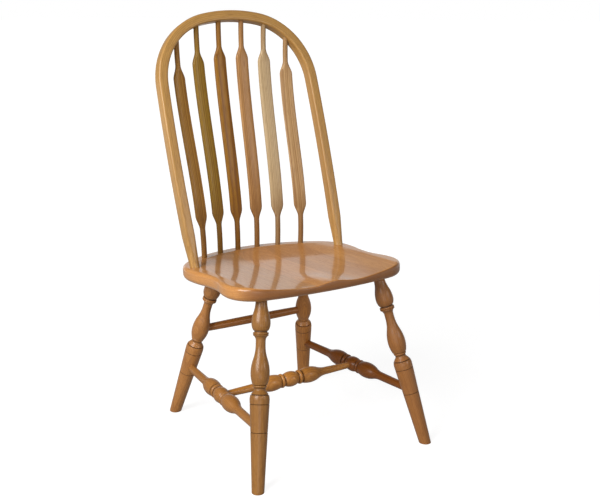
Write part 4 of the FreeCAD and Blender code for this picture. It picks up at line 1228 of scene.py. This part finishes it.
@dataclass(frozen=True)
class LegTurning:
    """The radii of a leg from the seat down, how far each stretch runs, and how dark its grooves are."""

    tenon_shown: float = 8.0
    tenon: float = 13.4
    tenon_run: float = 7.5
    bulb: float = 21.7
    bulb_rise: float = 51.0
    bulb_end: float = 17.4
    bulb_fall: float = 15.5
    groove: float = 14.8
    groove_wall: float = 1.2
    groove_run: float = 2.6
    wide_bead: Point = (5.0, 3.4)
    slim_bead: Point = (3.0, 1.8)
    waist: float = 11.3
    waist_cove: float = 11.0
    waist_run: float = 10.0
    vase: float = 21.7
    vase_rise: float = 63.5
    vase_end: float = 17.0
    vase_fall: float = 25.5
    joint: float = 14.0
    joint_run: float = 1.4
    joint_bead: Point = (5.0, 1.7)
    spool: float = 13.0
    spool_wall: float = 1.5
    spool_run: float = 4.0
    collar: float = 19.8
    collar_run: float = 9.0
    gap: float = 18.7
    gap_wall: float = 0.5
    gap_run: float = 1.2
    shoulder_start: float = 21.2
    shoulder_wall: float = 0.6
    shoulder: float = 22.8
    shoulder_run: float = 10.7
    upper_line: float = 22.5
    upper_run: float = 8.5
    lower_line: float = 19.7
    lower_run: float = 61.5
    line_half: float = 1.0
    line_depth: float = 1.1
    foot: float = 14.4
    past_floor: float = 30.0
    groove_burn: float = 0.9
    spool_burn: Point = (0.85, 0.2)
    gap_burn: Point = (1.0, 0.3)

    def outline(self, length: float) -> Turning:
        """Cuts the turning from inside the seat down past the floor.

        Args:
            length: How far the foot is from the seat.

        Returns:
            The outline.
        """
        turning = Turning()
        turning.put(-self.tenon_shown, self.tenon)
        turning.line(self.tenon, self.tenon_shown + self.tenon_run, steps=3)
        turning.sway(self.bulb, self.bulb_rise, 10)
        turning.quarter(self.bulb_end, self.bulb_fall, True)
        turning.line(self.groove, self.groove_wall, self.groove_burn)
        turning.line(self.groove, self.groove_run, self.groove_burn)
        turning.bead(*self.wide_bead)
        turning.bead(*self.slim_bead, steps=6)
        turning.quarter(self.waist, self.waist_cove, False)
        turning.line(self.waist, self.waist_run)
        turning.sway(self.vase, self.vase_rise, 12)
        turning.quarter(self.vase_end, self.vase_fall, True, 11)
        turning.line(self.joint, self.joint_run, self.groove_burn)
        turning.bead(*self.joint_bead, steps=6)
        turning.line(self.spool, self.spool_wall, self.spool_burn[0])
        turning.line(self.spool, self.spool_run, self.spool_burn[1], 2)
        turning.line(self.collar, self.collar_run, steps=6)
        turning.line(self.gap, self.gap_wall, self.gap_burn[0])
        turning.line(self.gap, self.gap_run, self.gap_burn[0])
        turning.line(self.shoulder_start, self.shoulder_wall, self.gap_burn[1])
        turning.quarter(self.shoulder, self.shoulder_run, False)
        turning.line(self.upper_line, self.upper_run)
        turning.score(self.line_half, self.line_depth)
        turning.line(self.lower_line, self.lower_run, steps=4)
        turning.score(self.line_half, self.line_depth)
        taper = (self.lower_line - self.foot) / (length - turning.along)
        reach = length + self.past_floor - turning.along
        turning.line(self.lower_line - taper * reach, reach, steps=10)
        return turning


@dataclass(frozen=True)
class StretcherTurning:
    """Half of a turned stretcher: half a ball, a ring, a pear-shaped bulb and the slim end."""

    neck: float = 10.6
    tenon: float = 9.8
    ball: float = 19.6
    ball_end: float = 14.8
    ball_run: float = 18.5
    groove: float = 13.8
    groove_wall: float = 1.0
    groove_run: float = 2.2
    ring: Point = (9.0, 4.4)
    pear_start: float = 17.2
    pear: float = 20.4
    pear_rise: float = 22.0
    pear_fall: float = 52.0
    groove_burn: float = 0.9
    pear_burn: float = 0.3

    def outline(self, shown: float) -> Turning:
        """Cuts the turning from the middle outwards.

        Args:
            shown: How far from the middle the other piece hides it.

        Returns:
            The outline.
        """
        turning = Turning()
        turning.put(0.0, self.ball)
        turning.quarter(self.ball_end, self.ball_run, True, 10)
        turning.line(self.groove, self.groove_wall, self.groove_burn)
        turning.line(self.groove, self.groove_run, self.groove_burn)
        turning.bead(*self.ring)
        turning.line(self.groove, self.groove_run, self.groove_burn)
        turning.line(self.pear_start, self.groove_wall, self.pear_burn)
        turning.quarter(self.pear, self.pear_rise, False, 8)
        turning.sway(self.neck, self.pear_fall, 9)
        turning.line(self.tenon, shown - turning.along, steps=5)
        return turning


@dataclass(frozen=True)
class PlainTurning:
    """Half of the plain rear stretcher, which swells gently towards its middle."""

    middle: float = 10.9
    tenon: float = 9.6

    def outline(self, shown: float) -> Turning:
        """Cuts the turning from the middle outwards.

        Args:
            shown: How far from the middle the leg hides it.

        Returns:
            The outline.
        """
        turning = Turning()
        turning.put(0.0, self.middle)
        turning.quarter(self.tenon, shown, True, 14)
        return turning


@dataclass
class Undercarriage:
    """Four splayed turned legs, two side stretchers, the centre stretcher and the rear stretcher."""

    seat: Seat
    leg: LegTurning = LegTurning()
    front_foot: Point = (240.5, 275.6)
    rear_foot: Point = (202.6, 226.6)
    front_mortise: Point = (164.4, 164.5)
    rear_mortise: Point = (127.6, 114.4)
    rear_rise: float = 3.0
    side_height: float = 134.0
    rear_height: float = 242.3
    foot_ease: float = 2.0
    stretcher_hidden: float = 21.7
    stretcher_tenon: float = 10.0
    tenon_burn: float = 0.5
    facets: int = 56

    def axis(self, side: Side, row: Row) -> Axis:
        """The axis of one leg.

        Args:
            side: Its side.
            row: Its row.

        Returns:
            The line from its foot to the underside of the seat.
        """
        is_front = row is Row.FRONT
        foot = self.front_foot if is_front else self.rear_foot
        mortise = self.front_mortise if is_front else self.rear_mortise
        top = self.seat.on_top(side.value * mortise[0], row.value * mortise[1], self.seat.thickness)
        return Axis(Vector((side.value * foot[0], row.value * foot[1], 0.0)), top)

    def turn(
        self, trees: ShapeTrees, name: str, row: Mesh, axis: Axis, place: Vector, material: Any
    ) -> Piece:
        """Turns one stick.

        Args:
            trees: The geometry trees.
            name: The stick's name.
            row: Its outline as a row of points.
            axis: The axis that it lies along.
            place: Where the row's origin comes to lie.
            material: Its finish.

        Returns:
            The stick.
        """
        values = {"Facets": self.facets, "Place": place * MM, "Turn": axis.turn(), "Material": material}
        return run_tree("turned_" + name, row, trees.turned, values)

    def build(self, shading: OakShading, trees: ShapeTrees) -> None:
        """Turns and dresses every piece below the seat.

        Args:
            shading: The shared shader groups.
            trees: The geometry trees.
        """
        # Colour scales: near the wood's own tone on the front right and rear left legs; the front left leg
        # is made darker and more olive; the rear right leg is made paler, a painted light that lifts the
        # seat's shadow on it.
        legs = {
            "leg_front_left": (Side.LEFT, Row.FRONT, (6.0, -34.0), (0.78, 0.78, 0.58)),
            "leg_front_right": (Side.RIGHT, Row.FRONT, (-28.0, 22.0), (0.89, 0.82, 0.76)),
            "leg_rear_left": (Side.LEFT, Row.REAR, (30.0, 18.0), (1.06, 1.04, 1.05)),
            "leg_rear_right": (Side.RIGHT, Row.REAR, (-14.0, -30.0), (1.4, 1.32, 1.2)),
        }
        profile = self.leg.outline(self.axis(Side.LEFT, Row.FRONT).length)
        for number, (name, (side, row, pith, colour_scale)) in enumerate(legs.items()):
            axis = self.axis(side, row)
            place = axis.top + axis.way * (self.rear_rise if row is Row.REAR else 0.0)
            material = LEG_FINISH.material(shading, name, pith, number, colour_scale)
            piece = self.turn(trees, name, profile.mesh(name, -1.0), axis, place, material)
            saw(piece.data, Vector((0.0, 0.0, 0.0)), Vector((0.0, 0.0, -1.0)), self.foot_ease * MM)
            wear_piece(piece, name)
        self.build_stretchers(shading, trees)

    def build_stretchers(self, shading: OakShading, trees: ShapeTrees) -> None:
        """Turns and dresses the four stretchers.

        Args:
            shading: The shared shader groups.
            trees: The geometry trees.
        """
        left, right = (
            Axis(*(self.axis(side, row).at_height(self.side_height) for row in (Row.REAR, Row.FRONT)))
            for side in Side
        )
        rear = Axis(*(self.axis(side, Row.REAR).at_height(self.rear_height) for side in Side))
        turned, slim = StretcherTurning(), StretcherTurning(neck=9.8, tenon=8.2)
        # Colour scales: the centre and rear stretchers are made paler, a painted light that lifts the seat's
        # shadow on them; the right side stretcher is made darker and more orange; the left keeps the wood's
        # own tone.
        stretchers = {
            "side_stretcher_left": (left, turned, (1.02, 1.02, 1.0)),
            "side_stretcher_right": (right, turned, (0.64, 0.44, 0.12)),
            "centre_stretcher": (Axis(left.middle, right.middle), slim, (1.35, 1.34, 1.1)),
            "rear_stretcher": (rear, PlainTurning(), (1.1, 0.95, 0.75)),
        }
        for number, (name, (axis, shape, colour_scale)) in enumerate(stretchers.items()):
            turning = shape.outline(axis.length / 2.0 - self.stretcher_hidden)
            turning.line(shape.tenon, self.stretcher_tenon, self.tenon_burn)
            pith = (20.0 - 11.0 * number, 24.0)
            material = STRETCHER_FINISH.material(shading, name, pith, number, colour_scale)
            piece = self.turn(trees, name, turning.mesh(name, both=True), axis, axis.middle, material)
            wear_piece(piece, name)


# Bow and spindles


def meeting(centre_a: Vector, radius_a: float, centre_b: Vector, radius_b: float) -> Vector:
    """The meeting point of two circles that lies nearer to the chair's middle line.

    Args:
        centre_a: The middle of the first circle.
        radius_a: Its radius.
        centre_b: The middle of the second circle.
        radius_b: Its radius.

    Returns:
        The point.
    """
    apart = centre_b - centre_a
    distance = apart.length
    along = (distance**2 + radius_a**2 - radius_b**2) / (2.0 * distance)
    aside = math.sqrt(radius_a**2 - along**2)
    foot = centre_a + apart * (along / distance)
    across = Vector((-apart.y, apart.x)) * (aside / distance)
    return min(foot + across, foot - across, key=lambda point: point.x)


def rounded_box(half_x: float, half_y: float, corner: float) -> Section:
    """The outline of a rectangle with round corners.

    Args:
        half_x: Half its width.
        half_y: Half its depth.
        corner: The radius of its corners.

    Returns:
        Points round it, with two on each straight side.
    """
    rounds = []
    for turn, (sign_x, sign_y) in enumerate(((1, 1), (-1, 1), (-1, -1), (1, -1))):
        hub = (sign_x * (half_x - corner), sign_y * (half_y - corner))
        rounds.append(arc(hub, corner, QUARTER_TURN * turn, QUARTER_TURN * (turn + 1), 8))
    points: Section = []
    for corner_points, after in zip(rounds, rounds[1:] + rounds[:1]):
        points += corner_points
        points += [between(corner_points[-1], after[0], third / 3) for third in (1, 2)]
    return points


@dataclass
class Bow:
    """The bent bow: its curve lies in a plane that leans back from the seat."""

    seat: Seat
    foot_x: float = 211.4
    foot_y: float = 73.0
    lean: float = 18.9
    rise: float = 618.3
    crown_arc: float = 400.0
    crown_angle: float = 11.3
    shoulder_arc: float = 171.0
    side_arc: float = 6070.0
    width: float = 25.4
    depth: float = 29.0
    edge_round: float = 5.5
    taper_top: float = 75.0
    taper_end: float = 8.0
    tenon: float = 11.8
    tenon_proud: float = 0.15
    past_seat: float = 24.0
    side_steps: int = 200
    shoulder_steps: int = 100
    crown_steps: int = 40
    pith: Point = (-38.0, 26.0)
    wedge_length: float = 20.0
    wedge_thick: float = 3.0
    wedge_thin: float = 1.0
    wedge_gap: float = 0.6
    wedge_proud: float = 0.3
    wedge_bulge: float = 0.25
    wedge_pith: Point = (9.0, 4.0)

    def __post_init__(self) -> None:
        """Sets out the arcs of the right half."""
        self.crown_hub = Vector((0.0, self.rise - self.crown_arc))
        turn = math.radians(self.crown_angle)
        ray = Vector((math.sin(turn), math.cos(turn)))
        self.crown_end = self.crown_hub + ray * self.crown_arc
        self.shoulder_hub = self.crown_end - ray * self.shoulder_arc
        self.side_hub = meeting(
            Vector((self.foot_x, 0.0)), self.side_arc, self.shoulder_hub, self.side_arc - self.shoulder_arc
        )

    @property
    def place(self) -> Matrix:
        """The bow's own frame in millimetres: X across, Y backwards, Z up along the lean."""
        lean = Matrix.Rotation(math.radians(-self.lean), 4, "X")
        return Matrix.Translation(self.seat.on_top(0.0, self.foot_y)) @ lean

    def side_at(self, rise: float) -> Vector:
        """The point of the side arc at a rise above the seat."""
        up = rise - self.side_hub.y
        return Vector((self.side_hub.x + math.sqrt(self.side_arc**2 - up**2), rise))

    def top_at(self, across: float) -> Vector:
        """The point of the crown or shoulder at a distance across from the middle.

        Args:
            across: The distance.

        Returns:
            The point, in the bow's plane.
        """
        hub, radius = self.crown_hub, self.crown_arc
        if across > self.crown_end.x:
            hub, radius = self.shoulder_hub, self.shoulder_arc
        return Vector((across, hub.y + math.sqrt(radius**2 - (across - hub.x) ** 2)))

    def on_curve(self, point: Vector) -> Vector:
        """A point of the curve in the chair's frame."""
        return self.place @ Vector((point.x, 0.0, point.y))

    def path(self) -> list[Vector]:
        """The centre line from below the left foot over to below the right one.

        Returns:
            Points close together, in the bow's plane.
        """
        ray = (self.shoulder_hub - self.side_hub).normalized()
        side_end = self.shoulder_hub + ray * self.shoulder_arc
        low = -(self.seat.thickness + self.past_seat)
        start, end = math.atan2(ray.y, ray.x), QUARTER_TURN - math.radians(self.crown_angle)
        rise = (side_end.y - low) / self.side_steps
        half = [self.side_at(low + rise * step) for step in range(self.side_steps)]
        shoulder = arc(self.shoulder_hub, self.shoulder_arc, start, end, self.shoulder_steps)
        crown = arc(self.crown_hub, self.crown_arc, end, QUARTER_TURN, self.crown_steps)
        half += [Vector(point) for point in shoulder[:-1] + crown]
        return [Vector((-point.x, point.y)) for point in half] + list(reversed(half[:-1]))

    def straight_bar(self, line: list[Vector]) -> Mesh:
        """The bow before it is bent, round at its tenons and full between them.

        Args:
            line: The centre line that it is bent to.

        Returns:
            The bar.
        """
        full = rounded_box(self.width / 2.0, self.depth / 2.0, self.edge_round)
        tenon = rounded_box(self.tenon, self.tenon, self.tenon * 0.99)
        rings = []
        for point, along in list(zip(line, distances(line)))[::2]:
            share = limited((point.y - self.taper_end) / (self.taper_top - self.taper_end))
            outline = [between(slim, wide, share) for slim, wide in zip(tenon, full)]
            rings.append([Vector((x, y, along)) for x, y in outline])
        return tube("bow_straight", rings)

    def build(self, shading: OakShading, trees: ShapeTrees) -> None:
        """Bends and dresses the bow, saws its tenons off under the seat and sets the wedges.

        Args:
            shading: The shared shader groups.
            trees: The geometry trees.
        """
        line = self.path()
        guide_mesh = bpy.data.meshes.new("bow_guide")
        points = [self.on_curve(point) * MM for point in line]
        guide_mesh.from_pydata(points, [(step, step + 1) for step in range(len(points) - 1)], [])
        guide = new_object("bow_guide", guide_mesh)
        backwards = self.place.to_3x3() @ Vector((0.0, 1.0, 0.0))
        material = BOW_FINISH.material(shading, "bow", self.pith)
        values = {"Path": guide, "Backwards": backwards, "Material": material}
        piece = run_tree("bent_bow", self.straight_bar(line), trees.swept, values)
        bpy.data.objects.remove(guide)
        under = self.seat.on_top(0.0, 0.0, self.seat.thickness + self.tenon_proud)
        down = self.seat.place.to_3x3() @ Vector((0.0, 0.0, -1.0))
        saw(piece.data, under * MM, down)
        wear_piece(piece, "bow")
        self.build_wedges(shading)

    def build_wedges(self, shading: OakShading) -> None:
        """The two wedges that spread the tenons, seen from below.

        Args:
            shading: The shared shader groups.
        """
        work = bmesh.new()
        layer = work.verts.layers.float_vector.new(Layer.GRAIN.value)
        work.verts.layers.float.new(Layer.BURN.value)
        to_seat = self.seat.place.inverted()
        way = to_seat.to_3x3() @ self.place.to_3x3() @ Vector((0.0, 0.0, 1.0))
        half = self.tenon - self.wedge_gap
        spots = [2.0 * step / 11 - 1.0 for step in range(12)]
        bulges = [1.0 - self.wedge_bulge * (1.0 - math.sqrt(1.0 - (spot * 0.98) ** 2)) for spot in spots]
        low = self.side_at(self.taper_end)
        for side in Side:
            foot = to_seat @ self.on_curve(Vector((side.value * low.x, low.y)))
            foot -= way * ((foot.z + self.seat.thickness + self.wedge_proud) / way.z)
            head = foot + way * self.wedge_length
            rings = []
            for thick, middle in ((self.wedge_thick, foot), (self.wedge_thin, head)):
                bends = [(thick / 2.0 * bulge, spot * half, 0.0) for spot, bulge in zip(spots, bulges)]
                ring = [middle + Vector(bend) for bend in bends]
                ring += [middle * 2.0 - point for point in ring]
                rings.append([work.verts.new(point) for point in ring])
            skin(work, rings, False)
            for ring in rings:
                work.faces.new(ring)
        for vert in work.verts:
            vert[layer] = vert.co * MM
        mesh = bpy.data.meshes.new("tenon_wedges")
        keep(work, mesh)
        mesh.transform(Matrix.Scale(MM, 4) @ self.seat.place)
        mesh.materials.append(WEDGE_FINISH.material(shading, "wedges", self.wedge_pith))
        wear_piece(new_object("tenon_wedges", mesh), "bow_wedges")


@dataclass
class Spindles:
    """Six arrow spindles: round at both ends, flared to a flat blade, bent back in an S."""

    seat: Seat
    bow: Bow
    spacing: float = 57.6
    tops: tuple[float, ...] = (33.0, 97.8, 158.6)
    foot_radius: float = 6.9
    top_radius: float = 6.7
    foot_depth: float = 4.0
    top_short: float = 3.0
    set_forward: float = 4.0
    straight_foot: float = 20.0
    straight_top: float = 26.0
    neck_low: float = 72.0
    neck_high: float = 71.0
    flare: float = 35.0
    blade_half_width: float = 17.2
    blade_half_thick: float = 5.8
    blade_turn: float = 5.4
    round_handle: float = 0.5523
    blade_handle: float = 0.8
    foot_soak: float = 0.72
    top_soak: float = 0.4
    quarter_steps: int = 10
    neck_steps: int = 8
    flare_steps: int = 24
    blade_steps: int = 60
    piths: tuple[Point, ...] = (
        (24.0, -40.0), (-30.0, 26.0), (14.0, 52.0), (-44.0, -24.0), (36.0, 18.0), (-22.0, -34.0),
    )
    # Colour scales: partly each spindle's own tone; the left blades, turned away from the key lamp, are made
    # darker, a painted shade, and the two right-most blades paler and bluer, a painted reflection of the
    # white surroundings.
    colour_scales: tuple[Colour, ...] = (
        (0.98, 0.86, 0.42),
        (0.7, 0.68, 0.16),
        (0.66, 0.5, 0.1),
        (0.88, 0.78, 0.66),
        (1.04, 1.3, 1.8),
        (1.0, 1.08, 1.25),
    )

    def ring(self, rise: float, share: float, radius: float) -> list[Vector]:
        """A level outline of four quarter curves, between round and blade.

        Args:
            rise: Its height in the straight stick.
            share: 0 for the round stick and 1 for the blade.
            radius: The radius of the round stick here.

        Returns:
            The points round it.
        """
        soft = eased(share)
        half_width = radius + (self.blade_half_width - radius) * soft
        half_thick = radius + (self.blade_half_thick - radius) * soft
        handle = self.round_handle + (self.blade_handle - self.round_handle) * soft
        tips = ((half_width, 0.0), (0.0, half_thick), (-half_width, 0.0), (0.0, -half_thick))
        points = []
        for (x0, y0), (x1, y1) in zip(tips, tips[1:] + tips[:1]):
            leave, arrive = (x0 + x1 * handle, y0 + y1 * handle), (x1 + x0 * handle, y1 + y0 * handle)
            poles = ((x0, y0), leave, arrive, (x1, y1))
            for step in range(self.quarter_steps):
                t = step / self.quarter_steps
                weights = ((1 - t) ** 3, 3 * t * (1 - t) ** 2, 3 * t**2 * (1 - t), t**3)
                x, y = (sum(w * pole[way] for w, pole in zip(weights, poles)) for way in (0, 1))
                points.append(Vector((x, y, rise)))
        return points

    def slat(self, height: float) -> list[list[Vector]]:
        """The straight spindle, before it is bent.

        Args:
            height: Its height from the seat to the bow's centre line.

        Returns:
            Its outlines from the foot up.
        """
        high = height - self.neck_high
        low_end, high_start = self.neck_low + self.flare, high - self.flare
        blade = high_start - low_end
        top = self.neck_high - self.top_short
        necks, flares = self.neck_steps, [step / self.flare_steps for step in range(self.flare_steps + 1)]
        stretches = (
            [(-self.foot_depth, 0.0)],
            [(self.neck_low * step / necks, 0.0) for step in range(necks)],
            [(self.neck_low + self.flare * share, share) for share in flares],
            [(low_end + blade * step / self.blade_steps, 1.0) for step in range(1, self.blade_steps)],
            [(high_start + self.flare * share, 1.0 - share) for share in flares],
            [(high + top * step / necks, 0.0) for step in range(1, necks + 1)],
        )
        radii = (self.foot_radius,) * 4 + (self.top_radius,) * 2
        return [self.ring(*spot, radius) for radius, spots in zip(radii, stretches) for spot in spots]

    def soaking(self, rings: list[list[Vector]]) -> list[float]:
        """How much more stain each ring has taken up, most at the foot and some at the top.

        Args:
            rings: The outlines of the straight spindle.

        Returns:
            A share for each ring.
        """
        rises = [ring[0].z for ring in rings]
        low_end, high_end = self.neck_low + self.flare, self.neck_high + self.flare
        shares = []
        for rise in rises:
            low = limited((1.4 * low_end - rise) / (0.8 * low_end))
            high = limited((high_end - (rises[-1] - rise)) / (0.6 * high_end))
            shares.append(max(self.foot_soak * low, self.top_soak * high))
        return shares

    def build(self, shading: OakShading, trees: ShapeTrees) -> None:
        """Makes, bends and dresses the six spindles.

        Args:
            shading: The shared shader groups.
            trees: The geometry trees.
        """
        for number, (pith, colour_scale) in enumerate(zip(self.piths, self.colour_scales)):
            side = Side.LEFT.value if number < 3 else Side.RIGHT.value
            from_middle = abs(number - 2.5)
            across = from_middle * self.spacing
            back = self.seat.line_back - self.seat.line_arc + math.sqrt(self.seat.line_arc**2 - across**2)
            foot = self.seat.on_top(side * across, back)
            curve = self.bow.top_at(self.tops[int(from_middle)])
            top = self.bow.on_curve(Vector((side * curve.x, curve.y)))
            top.y -= self.set_forward
            reach = top - foot
            name = f"spindle_{number + 1}"
            values = {
                "Height": reach.z * MM,
                "Straight Foot": self.straight_foot * MM,
                "Straight Top": self.straight_top * MM,
                "Lean": reach.x / reach.z,
                "Set Back": reach.y * MM,
                "Flat Turn": math.radians(-side * from_middle * self.blade_turn),
                "Foot": foot * MM,
                "Material": SPINDLE_FINISH.material(shading, name, pith, number, colour_scale),
            }
            rings = self.slat(reach.z)
            piece = run_tree("bent_" + name, tube(name, rings, self.soaking(rings)), trees.bent, values)
            wear_piece(piece, name)


# Studio


@dataclass(frozen=True)
class Lamp:
    """A soft lamp that faces the chair: its place and size in millimetres and its power in watts."""

    name: str
    spot: tuple[float, float, float]
    size: Point
    power: float
    aim: tuple[float, float, float] = (0.0, 0.0, 500.0)

    def hang(self) -> None:
        """Puts the lamp into the scene."""
        light = bpy.data.lights.new(self.name, "AREA")
        light.shape = "RECTANGLE"
        light.size, light.size_y = (length * MM for length in self.size)
        light.energy = self.power
        item = bpy.data.objects.new(self.name, light)
        bpy.context.scene.collection.objects.link(item)
        item.location = Vector(self.spot) * MM
        away = Vector(self.aim) - Vector(self.spot)
        item.rotation_euler = away.to_track_quat("-Z", "Y").to_euler()


@dataclass
class Studio:
    """The floor, the light and the camera. Angles of the camera are in radians."""

    lamps: tuple[Lamp, ...] = (
        Lamp("key", (-2700.0, -850.0, 2250.0), (2000.0, 2000.0), 140.0),
        Lamp("low_fill", (-1500.0, -2700.0, 500.0), (1600.0, 900.0), 10.0),
        Lamp("glint", (-500.0, -3100.0, 1900.0), (260.0, 260.0), 7.0),
        Lamp("fill", (1500.0, -2700.0, 1500.0), (900.0, 900.0), 16.0),
        Lamp("back_panel", (1750.0, 2750.0, 760.0), (4600.0, 1400.0), 13.0),
    )
    white: tuple[float, ...] = (1.0, 1.0, 1.0, 1.0)
    floor_colour: tuple[float, ...] = (0.3, 0.3, 0.3, 1.0)
    floor_radius: float = 30000.0
    floor_near: float = 0.84
    floor_far: float = 1.0
    floor_fade: Point = (900.0, 5000.0)
    floor_gleam: float = 0.9
    gleam_fade: Point = (1800.0, 3200.0)
    ambient: float = 0.22
    mirrored: float = 0.16
    camera_place: tuple[float, float, float] = (-1257.8, -2035.6, 1101.9)
    camera_yaw: float = 0.5692
    camera_pitch: float = 0.2597
    camera_roll: float = 0.0046
    camera_lens: float = 60.13
    sensor_width: float = 36.0

    def build(self) -> None:
        """Sets the stage."""
        self.build_world()
        self.build_floor()
        for lamp in self.lamps:
            lamp.hang()
        self.build_camera()

    def seen(self, graph: Graph, straight: Any, mirrored: Any, otherwise: float) -> Socket:
        """How bright the background is for each kind of look at it.

        Args:
            graph: The material's or world's graph.
            straight: The strength where the camera looks at it.
            mirrored: The strength where it shows in the lacquer.
            otherwise: The strength for all other light.

        Returns:
            The strength.
        """
        ray = graph.add("ShaderNodeLightPath").outputs
        glossy = graph.math("MAXIMUM", ray["Is Glossy Ray"], ray["Is Transmission Ray"])
        dim = graph.math("MAXIMUM", graph.math("MULTIPLY", glossy, mirrored), otherwise)
        return graph.math("MAXIMUM", graph.math("MULTIPLY", ray["Is Camera Ray"], straight), dim)

    def build_world(self) -> None:
        """A white background that lights the chair more softly than it looks."""
        world = bpy.data.worlds.new("studio_white")
        world.use_nodes = True
        bpy.context.scene.world = world
        graph = Graph(world.node_tree)
        strength = self.seen(graph, 1.0, self.mirrored, self.ambient)
        graph.fill(world.node_tree.nodes["Background"], {"Color": self.white, "Strength": strength})

    def build_floor(self) -> None:
        """A plain pale floor that keeps the chair's shadow."""
        work = bmesh.new()
        bmesh.ops.create_circle(work, cap_ends=True, radius=self.floor_radius * MM, segments=64)
        mesh = bpy.data.meshes.new("studio_floor")
        work.to_mesh(mesh)
        work.free()
        material = bpy.data.materials.new("floor_paper")
        material.use_nodes = True
        graph = Graph(material.node_tree)
        reach = graph.measure("LENGTH", graph.add("ShaderNodeTexCoord").outputs["Object"])

        def fade(limits: Point, near: float, far: float) -> Socket:
            """A strength that changes with the distance from the chair."""
            share = graph.ramp(reach, *(limit * MM for limit in limits))
            return graph.math("MULTIPLY_ADD", share, far - near, near)

        lift = fade(self.floor_fade, self.floor_near, self.floor_far)
        gleam = fade(self.gleam_fade, self.mirrored, self.floor_gleam)
        inputs = {
            "Base Color": self.floor_colour,
            "Roughness": 0.9,
            "Specular IOR Level": 0.1,
            "Emission Color": self.white,
            "Emission Strength": self.seen(graph, lift, gleam, 0.0),
        }
        graph.fill(material.node_tree.nodes["Principled BSDF"], inputs)
        mesh.materials.append(material)
        new_object("studio_floor", mesh)

    def build_camera(self) -> None:
        """The camera at the photograph's place, turned the way it looks."""
        yaw, pitch, roll = self.camera_yaw, self.camera_pitch, self.camera_roll
        look = Vector((math.sin(yaw) * math.cos(pitch), math.cos(yaw) * math.cos(pitch), -math.sin(pitch)))
        level = Vector((math.cos(yaw), -math.sin(yaw), 0.0))
        above = level.cross(look)
        right = level * math.cos(roll) + above * math.sin(roll)
        up = above * math.cos(roll) - level * math.sin(roll)
        data = bpy.data.cameras.new("camera")
        data.lens = self.camera_lens
        data.sensor_width = self.sensor_width
        data.clip_end = 200.0
        camera = bpy.data.objects.new("camera", data)
        bpy.context.scene.collection.objects.link(camera)
        turned = Matrix((right, up, -look)).transposed().to_4x4()
        camera.matrix_world = Matrix.Translation(Vector(self.camera_place) * MM) @ turned
        bpy.context.scene.camera = camera
        bpy.context.scene.view_settings.view_transform = "Standard"


def main() -> None:
    """Builds the chair piece by piece, then the studio round it."""
    logging.basicConfig(level=logging.INFO, format="%(name)s: %(message)s")
    shading = OakShading()
    trees = ShapeTrees()
    seat = Seat()
    seat.build(shading)
    Undercarriage(seat).build(shading, trees)
    bow = Bow(seat)
    bow.build(shading, trees)
    Spindles(seat, bow).build(shading, trees)
    Studio().build()


if __name__ == "__main__":
    main()
